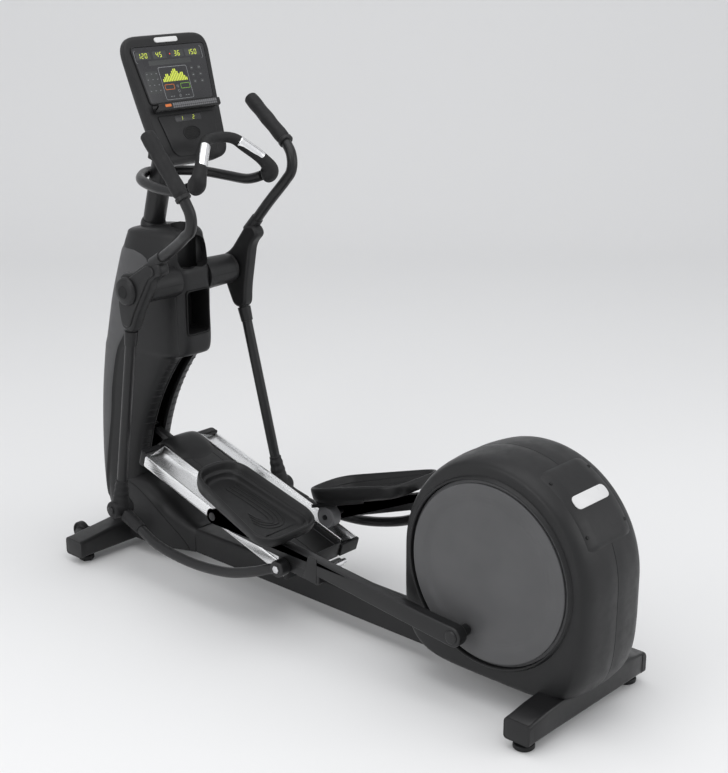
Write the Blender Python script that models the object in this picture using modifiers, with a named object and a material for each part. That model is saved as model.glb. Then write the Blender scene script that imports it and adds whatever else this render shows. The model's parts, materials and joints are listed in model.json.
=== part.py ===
"""Elliptical trainer: crossramp, crank at the rear, moving handlebars and a console on a mast.

Metres, +Z up, +X towards the drive end behind the user, +Y to the user's right.
The origin is on the floor under the middle of the machine.
The rest pose has the left pedal a little forward of its lowest point and the right one opposite it.
"""

import math

import bmesh
import bpy
from mathutils import Matrix, Vector

# Driving dimensions
HALF_LENGTH = 1.028
GAP = 0.0004  # between pieces that touch
RUNNING_GAP = 0.0006  # between a shaft and its bore
SHELL = 0.0035  # wall of the moulded covers

# Crank and drive
CRANK_X = 0.701
CRANK_Z = 0.398
CRANK_RADIUS = 0.19
CRANK_ANGLE = math.radians(251.6)  # left pin, from +X towards +Z
DISC_RADIUS = 0.266
DISC_FACE_Y = 0.146
DISC_THICKNESS = 0.006
SHAFT_RADIUS = 0.0125
PULLEY_RADIUS = 0.185
PULLEY_HALF_WIDTH = 0.011
ROTOR_X = 0.49
ROTOR_Z = 0.27
ROTOR_RADIUS = 0.032
ROTOR_SHAFT_RADIUS = 0.006
BELT_THICKNESS = 0.003
COVER_TOP = 0.333  # height of the rear covers above the crank
COVER_FRONT = 0.318
COVER_SIDE_Y = 0.138
COVER_RIM_Y = 0.149

# Beam and feet
BEAM_HALF_WIDTH = 0.040
BEAM_BOTTOM = 0.058
BEAM_TOP = 0.122
BEAM_WALL = 0.004
BEAM_COVER_HALF_WIDTH = 0.050
BEAM_COVER_BOTTOM = 0.050
BEAM_COVER_TOP = 0.131
FRONT_FOOT_X = -0.908
FRONT_FOOT_HALF_SPAN = 0.314
FRONT_FOOT_BOTTOM = 0.033
REAR_FOOT_X = 0.914
REAR_FOOT_HALF_SPAN = 0.279
REAR_FOOT_HALF_DEPTH = 0.033
REAR_FOOT_BOTTOM = 0.036
REAR_FOOT_TOP = 0.086
LEVELLER_Y = 0.244
LEVELLER_RADIUS = 0.030
STUD_RADIUS = 0.006
PAD_Y = 0.262
PAD_RADIUS = 0.026
TRANSPORT_WHEEL_RADIUS = 0.034
TRANSPORT_WHEEL_Y = 0.215
WHEEL_PIN_RADIUS = 0.005

# Tower, mast and console
SEAM_Z = 0.975
TOWER_BOTTOM = 0.105
TOWER_NOSE = HALF_LENGTH - 0.0033  # the front panel's thickness is outside it
MAST_RADIUS = 0.036
MAST_FOOT = (-0.806, 1.100)
MAST_HEAD = (-0.728, 1.375)
POST_RADIUS = 0.019
CUP_X = -0.652
CUP_RADIUS = 0.041
CUP_FLOOR = 0.992
BIN_HALF_WIDTH = 0.046
BIN_BOTTOM = 0.800
BIN_TOP = 0.944
BIN_DEPTH = 0.085
SLOT_HALF_WIDTH = 0.022
CONSOLE_TILT = math.radians(21)
CONSOLE_FOOT = (-0.566, 1.362)  # lowest point of the face
CONSOLE_HEIGHT = 0.405
CONSOLE_TOP_HALF_WIDTH = 0.167
CONSOLE_FOOT_HALF_WIDTH = 0.122
CONSOLE_DEPTH = 0.068

# Handlebars, about the shaft through the tower
PIVOT_X = -0.644
PIVOT_Z = 0.976
PIVOT_SHAFT_RADIUS = 0.0125
HORN_RADIUS = 0.049
HORN_END_Y = 0.188
ARM_Y = 0.220
ARM_SWING = math.radians(10.3)  # half the angle between the two bars at rest
BAR_RADIUS = 0.017
GRIP_RADIUS = 0.023
LOWER_END = (0.037, -0.756)  # boot's pivot from the bar's pivot, bar upright
LOWER_END_Y = 0.238
LINK_RADIUS = 0.016
LINK_LENGTH = 0.746
LINK_END_Z = {-1: 0.237, 1: 0.361}  # height of each link's rear joint

# Ramp, about the pivot at its rear end
RAMP_PIVOT_X = 0.0
RAMP_PIVOT_Z = 0.165
RAMP_ANGLE = math.radians(17)
RAMP_FRONT = -0.778
RAMP_REAR = -0.046
TRACK_INNER_Y = 0.078
TRACK_OUTER_Y = 0.160
TRACK_FLOOR = 0.009
TRACK_BOTTOM = -0.030
DECK_TOP = 0.029
TOWER_ARC_RADIUS = 0.853  # hollow at the back of the tower, about the ramp's pivot
TONGUE_REACH = 0.862
NUT_REACH = 0.905
RAMP_LIFT = math.radians(23)

# Pedals
ROLLER_RADIUS = 0.036
ROLLER_Y = 0.122
ROLLER_WIDTH = 0.040
AXLE_RADIUS = 0.008
ROLLER_AT = {-1: -0.340, 1: -0.157}  # along the ramp, left and right
RAIL_Y = 0.201
RAIL_HALF_WIDTH = 0.0175
RAIL_HALF_HEIGHT = 0.025
RAIL_LENGTH = 0.959
PEDAL_PITCH = {-1: math.radians(7), 1: math.radians(1.2)}
PEDAL_HEIGHT = {-1: 0.142, 1: 0.098}  # rim above the arm's axis, set apart for each foot

COLOURS = {
    "black_plastic": ((0.035, 0.036, 0.038), 0.5, 0.0),
    "grey_plastic": ((0.12, 0.12, 0.125), 0.45, 0.0),
    "disc_grey": ((0.14, 0.14, 0.145), 0.4, 0.0),
    "black_paint": ((0.03, 0.03, 0.032), 0.35, 0.2),
    "rubber": ((0.02, 0.02, 0.021), 0.7, 0.0),
    "aluminium": ((0.85, 0.86, 0.88), 0.2, 1.0),
    "steel": ((0.55, 0.56, 0.58), 0.3, 1.0),
    "glass": ((0.01, 0.01, 0.012), 0.08, 0.0),
}


# Scene set-up

for old in list(bpy.data.objects):
    bpy.data.objects.remove(old)

PARTS = bpy.data.collections.new("elliptical_trainer")
CUTTERS = bpy.data.collections.new("cutters")
bpy.context.scene.collection.children.link(PARTS)
bpy.context.scene.collection.children.link(CUTTERS)


def material(kind):
    """The named finish, made on first use."""
    found = bpy.data.materials.get(kind)
    if found:
        return found
    colour, roughness, metallic = COLOURS[kind]
    made = bpy.data.materials.new(kind)
    made.use_nodes = True
    shader = made.node_tree.nodes["Principled BSDF"]
    shader.inputs["Base Color"].default_value = (*colour, 1)
    shader.inputs["Roughness"].default_value = roughness
    shader.inputs["Metallic"].default_value = metallic
    return made


def empty(name, place, turn=0.0, parent=None):
    """A frame that pieces hang from: a place, and an angle about Y."""
    ob = bpy.data.objects.new(name, None)
    PARTS.objects.link(ob)
    ob.location = place
    ob.rotation_euler = (0, turn, 0)
    ob.parent = parent
    return ob


def as_part(ob, kind, parent, smooth=True):
    """Give a piece its finish and its frame."""
    ob.data.materials.clear()
    ob.data.materials.append(material(kind))
    ob.parent = parent
    if smooth:
        ob.data.shade_smooth()
        ob.data.set_sharp_from_angle(angle=math.radians(35))
    return ob


def from_bmesh(name, bm):
    """A new object in the parts collection from a bmesh."""
    bmesh.ops.recalc_face_normals(bm, faces=bm.faces)
    mesh = bpy.data.meshes.new(name)
    bm.to_mesh(mesh)
    bm.free()
    ob = bpy.data.objects.new(name, mesh)
    PARTS.objects.link(ob)
    return ob


def from_curve(ob):
    """A closed mesh object in the place of a curve object."""
    bpy.context.view_layer.update()
    evaluated = ob.evaluated_get(bpy.context.evaluated_depsgraph_get())
    mesh = bpy.data.meshes.new_from_object(evaluated)
    name = ob.name
    place = ob.matrix_world.copy()
    bpy.data.objects.remove(ob)
    bm = bmesh.new()
    bm.from_mesh(mesh)
    bmesh.ops.remove_doubles(bm, verts=bm.verts, dist=0.00001)
    bm.to_mesh(mesh)
    bm.free()
    mesh.transform(place)
    made = bpy.data.objects.new(name, mesh)
    PARTS.objects.link(made)
    return made


def curve_object(name, splines, dimensions="2D"):
    """A curve object of poly splines, each a list of points and whether it is cyclic."""
    data = bpy.data.curves.new(name, "CURVE")
    data.dimensions = dimensions
    for points, cyclic in splines:
        spline = data.splines.new("POLY")
        spline.points.add(len(points) - 1)
        for point, at in zip(spline.points, points):
            point.co = (*at, 1) if len(at) == 3 else (*at, 0, 1)
        spline.use_cyclic_u = cyclic
    ob = bpy.data.objects.new(name, data)
    PARTS.objects.link(ob)
    return ob


def prism(name, outlines, low, high, axis="Y"):
    """A flat outline, or one with holes, carried from low to high along an axis."""
    if not isinstance(outlines[0][0], (tuple, list)):
        outlines = [outlines]
    ob = curve_object(name, [(outline, True) for outline in outlines])
    ob.data.fill_mode = "BOTH"
    ob.data.extrude = (high - low) / 2
    middle = (high + low) / 2
    if axis == "Y":
        ob.rotation_euler = (math.pi / 2, 0, 0)
        ob.location = (0, middle, 0)
    elif axis == "X":
        ob.rotation_euler = (math.pi / 2, 0, math.pi / 2)
        ob.location = (middle, 0, 0)
    else:
        ob.location = (0, 0, middle)
    return from_curve(ob)


def tube(name, points, radius, resolution=2):
    """A round bar along the points, with filled ends."""
    ob = curve_object(name, [(points, False)], "3D")
    ob.data.bevel_depth = radius
    ob.data.bevel_resolution = resolution
    ob.data.use_fill_caps = True
    return from_curve(ob)


def box(name, low, high, bevel=0.0):
    """A block between two corners."""
    bm = bmesh.new()
    size = [b - a for a, b in zip(low, high)]
    middle = [(a + b) / 2 for a, b in zip(low, high)]
    place = Matrix.Translation(middle) @ Matrix.Diagonal((*size, 1))
    bmesh.ops.create_cube(bm, size=1, matrix=place)
    ob = from_bmesh(name, bm)
    if bevel:
        soften(ob, bevel)
    return ob


def cylinder(name, radius, low, high, place=(0, 0), axis="Y", steps=24):
    """A round bar along an axis; place is its centre in the other two directions."""
    bm = bmesh.new()
    bmesh.ops.create_cone(
        bm, cap_ends=True, segments=steps, radius1=radius, radius2=radius, depth=high - low
    )
    middle = (low + high) / 2
    if axis == "Y":
        turn = Matrix.Rotation(math.pi / 2, 4, "X") @ Matrix.Rotation(math.pi / steps, 4, "Z")
        at = (place[0], middle, place[1])
    elif axis == "X":
        turn = Matrix.Rotation(math.pi / 2, 4, "Y")
        at = (middle, *place)
    else:
        turn = Matrix.Identity(4)
        at = (*place, middle)
    bmesh.ops.transform(bm, matrix=Matrix.Translation(at) @ turn, verts=bm.verts)
    return from_bmesh(name, bm)


def lathe(name, profile, steps=32, side=1):
    """A profile of (radius, height) turned about the Y axis; side -1 mirrors it to the left."""
    bm = bmesh.new()
    verts = [bm.verts.new((radius, 0, height)) for radius, height in profile]
    for first, second in zip(verts, verts[1:]):
        bm.edges.new((first, second))
    closed = profile[0][0] > 0
    if closed:
        bm.edges.new((verts[-1], verts[0]))
    mesh = bpy.data.meshes.new(name)
    bm.to_mesh(mesh)
    bm.free()
    ob = bpy.data.objects.new(name, mesh)
    PARTS.objects.link(ob)
    screw = ob.modifiers.new("turn", "SCREW")
    screw.steps = steps
    screw.render_steps = steps
    screw.use_merge_vertices = True
    screw.merge_threshold = 0.00001
    bpy.context.view_layer.update()
    evaluated = ob.evaluated_get(bpy.context.evaluated_depsgraph_get())
    turned = bpy.data.meshes.new_from_object(evaluated)
    ob.modifiers.clear()
    ob.data = turned
    # The height axis goes to +Y for the right side and to -Y for the left.
    turned.transform(Matrix.Rotation(-side * math.pi / 2, 4, "X"))
    return ob


def loft(name, rings, capped=True, thickness=0.0, closed=True):
    """Rings of points joined into a skin; capped makes a solid, thickness a shell."""
    bm = bmesh.new()
    rows = [[bm.verts.new(point) for point in ring] for ring in rings]
    count = len(rows[0])
    last = count if closed else count - 1
    for lower, upper in zip(rows, rows[1:]):
        for i in range(last):
            j = (i + 1) % count
            bm.faces.new((lower[i], lower[j], upper[j], upper[i]))
    if capped:
        bm.faces.new(rows[0])
        bm.faces.new(rows[-1])
    ob = from_bmesh(name, bm)
    if thickness:
        wall = ob.modifiers.new("wall", "SOLIDIFY")
        wall.thickness = thickness
        wall.offset = -1
    return ob


def soften(ob, width, segments=2):
    """Round the sharp edges of a piece."""
    bevel = ob.modifiers.new("soften", "BEVEL")
    bevel.width = width
    bevel.segments = segments
    bevel.limit_method = "ANGLE"
    bevel.angle_limit = math.radians(40)
    return ob


def combine(ob, other, operation="DIFFERENCE"):
    """Cut, join or trim a piece with another solid, which moves to the cutters."""
    PARTS.objects.unlink(other)
    CUTTERS.objects.link(other)
    other.parent = ob.parent
    other.hide_render = True
    other.display_type = "WIRE"
    step = ob.modifiers.new(other.name, "BOOLEAN")
    step.operation = operation
    step.object = other
    step.solver = "EXACT"
    return ob


def arc(centre, radius, start, end, steps):
    """Points along an arc, both ends included; angles in degrees."""
    angles = [math.radians(start + (end - start) * i / steps) for i in range(steps + 1)]
    return [(centre[0] + radius * math.cos(a), centre[1] + radius * math.sin(a)) for a in angles]


def rounded_rectangle(low, high, radius, steps=2):
    """A rectangle with round corners, anticlockwise."""
    corners = (
        ((high[0] - radius, low[1] + radius), 270),
        ((high[0] - radius, high[1] - radius), 0),
        ((low[0] + radius, high[1] - radius), 90),
        ((low[0] + radius, low[1] + radius), 180),
    )
    points = []
    for centre, start in corners:
        points += arc(centre, radius, start, start + 90, steps)
    return points


def smooth_path(points, steps=5):
    """Points along a smooth curve through the given ones."""
    knots = [Vector(p) for p in points]
    ends = [knots[0] * 2 - knots[1]] + knots + [knots[-1] * 2 - knots[-2]]
    path = []
    for a, b, c, d in zip(ends, ends[1:], ends[2:], ends[3:]):
        for i in range(steps):
            t = i / steps
            path.append(
                tuple(
                    0.5
                    * (
                        2 * b
                        + (c - a) * t
                        + (2 * a - 5 * b + 4 * c - d) * t**2
                        + (3 * b - a - 3 * c + d) * t**3
                    )
                )
            )
    path.append(tuple(knots[-1]))
    return path


def blend(stations, at):
    """Values between stations, each a key followed by its values, keys falling."""
    for upper, lower in zip(stations, stations[1:]):
        if upper[0] >= at >= lower[0]:
            part = (upper[0] - at) / (upper[0] - lower[0])
            return [a + (b - a) * part for a, b in zip(upper[1:], lower[1:])]
    edge = stations[0] if at > stations[0][0] else stations[-1]
    return list(edge[1:])


# Frames

ROOT = empty("frame_origin", (0, 0, 0))
CRANK = empty("crank_axis", (CRANK_X, 0, CRANK_Z))
ROTOR = empty("rotor_axis", (ROTOR_X, 0, ROTOR_Z))
RAMP = empty("ramp_axis", (RAMP_PIVOT_X, 0, RAMP_PIVOT_Z), RAMP_ANGLE)
SIDES = ((-1, "left"), (1, "right"))


# Beam, feet and frame

def main_beam():
    """Rectangular steel tube between the two feet."""
    front = FRONT_FOOT_X + 0.047
    rear = REAR_FOOT_X - REAR_FOOT_HALF_DEPTH - GAP
    width = BEAM_HALF_WIDTH
    outer = rounded_rectangle((-width, BEAM_BOTTOM), (width, BEAM_TOP), 0.006)
    inner_width = width - BEAM_WALL
    inner = rounded_rectangle(
        (-inner_width, BEAM_BOTTOM + BEAM_WALL), (inner_width, BEAM_TOP - BEAM_WALL), 0.003
    )
    as_part(prism("main_beam", [outer, inner], front, rear, "X"), "black_paint", ROOT)


def foot_ring(y, low_x, high_x, low_z, high_z, corner=0.010):
    """Round-cornered section of a foot at one place across the machine."""
    return [(x, y, z) for x, z in rounded_rectangle((low_x, low_z), (high_x, high_z), corner)]


def front_foot():
    """Cast front cross foot, wide under the tower and slim at its ends."""
    span = FRONT_FOOT_HALF_SPAN
    x = FRONT_FOOT_X
    bottom = FRONT_FOOT_BOTTOM
    middle_top = TOWER_BOTTOM - 0.005
    stations = (
        (span, x - 0.030, x + 0.036, bottom + 0.006, 0.082),
        (span - 0.010, x - 0.040, x + 0.045, bottom, 0.088),
        (0.110, x - 0.052, x + 0.046, bottom, middle_top - 0.002),
        (0.060, x - 0.095, x + 0.046, bottom, middle_top),
    )
    rings = [foot_ring(-y, *sizes) for y, *sizes in stations]
    rings += [foot_ring(y, *sizes) for y, *sizes in reversed(stations)]
    foot = as_part(loft("front_foot", rings), "black_paint", ROOT)
    face = x - 0.048
    for side, word in SIDES:
        y = side * TRANSPORT_WHEEL_Y
        for ear, offset in (("in", -0.017), ("out", 0.017)):
            middle = y + offset
            outline = arc(wheel_centre(), 0.010, 90, 270, 4)
            outline += [(face + 0.012, outline[-1][1]), (face + 0.012, outline[0][1])]
            solid = prism(f"wheel_ear_{word}_{ear}", outline, middle - 0.0025, middle + 0.0025)
            combine(foot, solid, "UNION")
        pin = cylinder(
            f"wheel_pin_{word}", WHEEL_PIN_RADIUS, y - 0.016, y + 0.016, wheel_centre(), steps=12
        )
        combine(foot, pin, "UNION")
        high = FRONT_FOOT_BOTTOM + 0.006
        place = (FRONT_FOOT_X, side * PAD_Y)
        pad = cylinder(f"front_pad_{word}", PAD_RADIUS, 0, high, place, "Z", 6)
        combine(foot, pad, "UNION")


def wheel_centre():
    """Axis of the transport wheels, just ahead of the front foot."""
    return (FRONT_FOOT_X - 0.049 - TRANSPORT_WHEEL_RADIUS, TRANSPORT_WHEEL_RADIUS + 0.030)


def transport_wheels():
    """Small wheels that roll when the rear end is lifted."""
    bore = WHEEL_PIN_RADIUS + RUNNING_GAP
    radius = TRANSPORT_WHEEL_RADIUS
    profile = [
        (radius, 0.009), (radius, -0.009), (radius - 0.004, -0.012),
        (bore, -0.012), (bore, 0.012), (radius - 0.004, 0.012),
    ]
    for side, word in SIDES:
        x, z = wheel_centre()
        axis = empty(f"wheel_axis_{word}", (x, side * TRANSPORT_WHEEL_Y, z))
        as_part(lathe(f"transport_wheel_{word}", profile, 24), "rubber", axis)


def rear_foot():
    """Cast rear cross foot with threaded holes for the levellers."""
    x = REAR_FOOT_X
    half = REAR_FOOT_HALF_DEPTH
    bottom = REAR_FOOT_BOTTOM
    span = REAR_FOOT_HALF_SPAN
    stations = (
        (span, x - half + 0.008, x + half - 0.008, bottom + 0.006, REAR_FOOT_TOP - 0.010),
        (span - 0.010, x - half + 0.002, x + half - 0.002, bottom, REAR_FOOT_TOP - 0.004),
        (0.150, x - half, x + half, bottom, REAR_FOOT_TOP),
    )
    rings = [foot_ring(-y, *sizes) for y, *sizes in stations]
    rings += [foot_ring(y, *sizes) for y, *sizes in reversed(stations)]
    foot = as_part(loft("rear_foot", rings), "black_paint", ROOT)
    for side, word in SIDES:
        hole = cylinder(
            f"stud_hole_{word}", STUD_RADIUS + RUNNING_GAP, 0.0, bottom + 0.026,
            (x, side * LEVELLER_Y), "Z", 16,
        )
        combine(foot, hole)


def levellers():
    """Screw feet under the rear cross foot."""
    for side, word in SIDES:
        axis = empty(f"leveller_axis_{word}", (REAR_FOOT_X, side * LEVELLER_Y, 0))
        radius = LEVELLER_RADIUS
        profile = [
            (0, REAR_FOOT_BOTTOM + 0.020), (STUD_RADIUS, REAR_FOOT_BOTTOM + 0.020),
            (STUD_RADIUS, 0.024), (radius - 0.008, 0.021), (radius, 0.012), (radius, 0.003),
            (radius - 0.003, 0), (0, 0),
        ]
        foot = lathe(f"leveller_{word}", profile, 24)
        foot.data.transform(Matrix.Rotation(math.pi / 2, 4, "X"))
        as_part(foot, "rubber", axis)


def frame_post():
    """Steel post inside the tower, from the front foot up to the mast."""
    low = TOWER_BOTTOM - 0.005 + GAP
    points = [
        (-0.976, 0, low), (-0.976, 0, 0.140), (-0.993, 0, 0.210), (-0.995, 0, 0.400), (-0.970, 0, 0.550),
        (-0.812, 0, 1.060),
    ]
    as_part(tube("frame_post", points, POST_RADIUS, 2), "black_paint", ROOT)


def mast():
    """Round mast that leans back to the console."""
    (low_x, low_z), (high_x, high_z) = MAST_FOOT, MAST_HEAD
    pipe = tube("mast", [(low_x, 0, low_z), (high_x, 0, high_z)], MAST_RADIUS, 4)
    as_part(pipe, "black_paint", ROOT)


def drive_frame():
    """Welded pedestal on the beam that holds the crank's two bearings."""
    base = BEAM_TOP + GAP
    half = 0.058
    inner = 0.046
    outline = [
        (-half, base), (half, base), (half, CRANK_Z + 0.034), (inner, CRANK_Z + 0.034),
        (inner, base + 0.010), (-inner, base + 0.010), (-inner, CRANK_Z + 0.034),
        (-half, CRANK_Z + 0.034),
    ]
    frame = prism("drive_frame", outline, CRANK_X - 0.050, CRANK_X + 0.050, "X")
    as_part(frame, "black_paint", ROOT)
    bore = cylinder(
        "bearing_bore", SHAFT_RADIUS + RUNNING_GAP, -0.07, 0.07, (CRANK_X, CRANK_Z), steps=24
    )
    combine(frame, bore)


# Crank, pulley and generator

def crank_parts():
    """Crankshaft, large pulley and the two round discs that hide the crank arms."""
    end = DISC_FACE_Y - DISC_THICKNESS - GAP
    as_part(cylinder("crankshaft", SHAFT_RADIUS, -end, end), "steel", CRANK)
    bore = SHAFT_RADIUS + GAP
    width = PULLEY_HALF_WIDTH
    rim = PULLEY_RADIUS
    profile = [
        (rim, width), (rim, -width), (rim - 0.012, -width), (rim - 0.014, -0.004),
        (0.040, -0.004), (0.036, -0.030), (bore, -0.030), (bore, 0.030), (0.036, 0.030),
        (0.040, 0.004), (rim - 0.014, 0.004), (rim - 0.012, width),
    ]
    as_part(lathe("drive_pulley", profile, 32), "black_plastic", CRANK)
    back = DISC_FACE_Y - DISC_THICKNESS
    for side, word in SIDES:
        disc = [
            (0, DISC_FACE_Y - 0.003), (DISC_RADIUS - 0.062, DISC_FACE_Y - 0.003),
            (DISC_RADIUS - 0.050, DISC_FACE_Y), (DISC_RADIUS - 0.004, DISC_FACE_Y),
            (DISC_RADIUS, DISC_FACE_Y - 0.002), (DISC_RADIUS, back), (0, back),
        ]
        as_part(lathe(f"crank_disc_{word}", disc, 40, side), "disc_grey", CRANK)


def generator():
    """Brake generator ahead of the pulley, its rotor, and the belt that turns it."""
    rotor = [
        (0, 0.072), (ROTOR_SHAFT_RADIUS, 0.072), (ROTOR_SHAFT_RADIUS, 0.012),
        (ROTOR_RADIUS, 0.010), (ROTOR_RADIUS, -0.010), (0, -0.010),
    ]
    as_part(lathe("generator_rotor", rotor, 24), "steel", ROTOR)
    bore = ROTOR_SHAFT_RADIUS + RUNNING_GAP
    body = [(0.048, 0.068), (0.048, 0.020), (0.044, 0.016), (bore, 0.016), (bore, 0.068)]
    case = lathe("generator_housing", body, 24)
    case.data.transform(Matrix.Translation((ROTOR_X, 0, ROTOR_Z)))
    as_part(case, "steel", ROOT)
    low = BEAM_TOP + GAP
    leg = box(
        "generator_leg", (ROTOR_X - 0.020, 0.018, low), (ROTOR_X + 0.020, 0.040, ROTOR_Z - 0.030)
    )
    combine(case, leg, "UNION")
    outer = belt_outline(GAP + BELT_THICKNESS)
    inner = belt_outline(GAP)
    as_part(prism("drive_belt", [outer, inner], -0.008, 0.008), "rubber", ROOT)


def belt_outline(off):
    """Loop round the pulley and the rotor, a distance off their rims."""
    reach_x = ROTOR_X - CRANK_X
    reach_z = ROTOR_Z - CRANK_Z
    apart = math.hypot(reach_x, reach_z)
    along = math.degrees(math.atan2(reach_z, reach_x))
    spread = math.degrees(math.acos((PULLEY_RADIUS - ROTOR_RADIUS) / apart))
    # Straight chords lie inside their arc, so the arcs are drawn round the rim.
    chord = math.cos(math.pi / 24)
    big = arc(
        (CRANK_X, CRANK_Z), (PULLEY_RADIUS + off) / chord, along + spread, along + 360 - spread, 28
    )
    small = arc(
        (ROTOR_X, ROTOR_Z), (ROTOR_RADIUS + off) / chord, along - spread, along + spread, 10
    )
    return big + small


# Covers

def cover_outline(grow, count=32):
    """Side view of the rear covers: an arch above the crank, square-shouldered below it."""
    points = []
    for i in range(count):
        angle = 2 * math.pi * (i + 0.5) / count
        across = math.cos(angle)
        up = math.sin(angle)
        reach_x = (HALF_LENGTH - CRANK_X if across > 0 else COVER_FRONT) + grow
        reach_z = (COVER_TOP if up > 0 else CRANK_Z - 0.063) + grow
        power = 1.0 if up > 0 else 0.42
        x = math.copysign(abs(across) ** power, across) * reach_x
        z = math.copysign(abs(up) ** power, up) * reach_z
        points.append((x, z))
    return points


def cover_ring(y, grow):
    """One ring of a rear cover at a distance across the machine."""
    return [(CRANK_X + x, y, CRANK_Z + z) for x, z in cover_outline(grow)]


def round_ring(y, radius, count=32):
    """One ring of the round mouth of a rear cover."""
    ring = []
    for i in range(count):
        angle = 2 * math.pi * (i + 0.5) / count
        ring.append((CRANK_X + radius * math.cos(angle), y, CRANK_Z + radius * math.sin(angle)))
    return ring


def beam_tunnel(name):
    """Cutter that leaves room for the beam, its cover and the rear foot."""
    room = 0.001
    half = BEAM_COVER_HALF_WIDTH + room
    low = (CRANK_X - COVER_FRONT - 0.05, -half, 0)
    return box(name, low, (REAR_FOOT_X, half, BEAM_COVER_TOP + room))


def foot_notch(name):
    """Cutter that leaves room for the rear foot."""
    room = 0.001
    half = REAR_FOOT_HALF_DEPTH + room
    low = (REAR_FOOT_X - half, -0.2, 0)
    return box(name, low, (REAR_FOOT_X + half, 0.2, REAR_FOOT_TOP + room))


def rear_covers():
    """The two halves of the drive cover, each a shell with a round mouth for its disc."""
    mouth = DISC_RADIUS + 0.003
    for side, word in SIDES:
        rings = [
            cover_ring(side * GAP / 2, 0.0),
            cover_ring(side * 0.060, -0.002),
            cover_ring(side * 0.100, -0.010),
            cover_ring(side * 0.126, -0.023),
            cover_ring(side * COVER_SIDE_Y, -0.040),
            round_ring(side * (COVER_SIDE_Y + 0.002), mouth + 0.016),
            round_ring(side * COVER_RIM_Y, mouth + 0.010),
            round_ring(side * COVER_RIM_Y, mouth + 0.001),
            round_ring(side * (COVER_SIDE_Y - 0.010), mouth),
        ]
        shell = loft(f"rear_cover_{word}", rings, capped=False, thickness=SHELL)
        if side < 0:
            shell.data.flip_normals()
        shell.modifiers["wall"].offset = inward(shell)
        as_part(shell, "black_plastic", ROOT)
        combine(shell, beam_tunnel(f"beam_tunnel_{word}"))
        combine(shell, foot_notch(f"foot_notch_{word}"))


def inward(shell):
    """Side of the skin on which its wall lies, so that the wall grows towards the crank."""
    middle = Vector((CRANK_X, 0, CRANK_Z))
    faces = shell.data.polygons
    outwards = sum((face.center - middle).dot(face.normal) * face.area for face in faces)
    return -1 if outwards > 0 else 1


def rear_top_cap():
    """Separate cap across the top rear of the drive cover, which carries the badge."""
    count = 12
    rings = []
    for y in (-0.100, 0.100):
        ring = []
        for i in range(count + 1):
            angle = math.radians(25 + 42 * i / count)
            reach = HALF_LENGTH - CRANK_X + 0.0047
            height = COVER_TOP + 0.0047
            ring.append((CRANK_X + reach * math.cos(angle), y, CRANK_Z + height * math.sin(angle)))
        rings.append(ring)
    cap = loft("rear_top_cap", rings, capped=False, thickness=0.0025, closed=False)
    cap.modifiers["wall"].offset = inward(cap)
    as_part(cap, "black_plastic", ROOT)


TOWER = (
    # height, front, rear, half width
    (1.125, -0.848, -0.632, 0.078),
    (1.112, -0.862, -0.610, 0.092),
    (1.060, -0.882, -0.600, 0.101),
    (SEAM_Z, -0.914, -0.596, 0.105),
    (0.872, -0.951, -0.595, 0.106),
    (0.740, -0.987, -0.598, 0.106),
    (0.700, -0.996, -0.624, 0.106),
)
TOWER_FRONT = (
    # height, front, half width, below the chin
    (0.700, -0.996, 0.106),
    (0.520, -1.018, 0.105),
    (0.300, -TOWER_NOSE, 0.104),
    (0.105, -1.012, 0.100),
)
TOWER_POINTS = 24
TOWER_KNOTS = (0.22, 0.30, 0.42, 0.52, 0.62, 0.66, 0.70, 0.74, 0.872)


def tower_size(z):
    """Front, rear and half width of the tower at a height."""
    if z >= TOWER[-1][0]:
        return blend(TOWER, z)
    front, half = blend(TOWER_FRONT, z)
    rise = z - RAMP_PIVOT_Z
    rear = RAMP_PIVOT_X - math.sqrt(TOWER_ARC_RADIUS**2 - rise**2)
    return front, rear, half


def tower_ring(z, grow=0.0, size=None):
    """Plan of the tower at a height: blunt nose, flared sides, narrow back."""
    front, rear, half = size or tower_size(z)
    middle = (front + rear) / 2
    reach = (rear - front) / 2 + grow
    ring = []
    for i in range(TOWER_POINTS):
        angle = 2 * math.pi * (i + 0.5) / TOWER_POINTS
        power = 0.42 if math.cos(angle) > 0 else 0.6
        across = math.copysign(abs(math.cos(angle)) ** power, math.cos(angle))
        out = math.copysign(abs(math.sin(angle)) ** power, math.sin(angle))
        back = (1 + across) / 2
        ring.append((middle + reach * across, (half * (1 - 0.30 * back**2) + grow) * out, z))
    return ring


def horn(name, low, high):
    """Half of the two side horns that carry the handlebar shaft, between two heights."""
    rod = cylinder(name, HORN_RADIUS, -HORN_END_Y, HORN_END_Y, (PIVOT_X, PIVOT_Z), steps=28)
    keep = box(f"{name}_keep", (-1, -0.3, low), (0, 0.3, high))
    combine(rod, keep, "INTERSECT")
    hollow = box(f"{name}_hollow", (-1, -0.066, low - 0.01), (0, 0.066, high + 0.01))
    return combine(rod, hollow)


def shaft_bore(name):
    """Cutter for the handlebar shaft."""
    reach = HORN_END_Y + 0.01
    radius = PIVOT_SHAFT_RADIUS + RUNNING_GAP
    return cylinder(name, radius, -reach, reach, (PIVOT_X, PIVOT_Z), steps=20)


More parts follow.
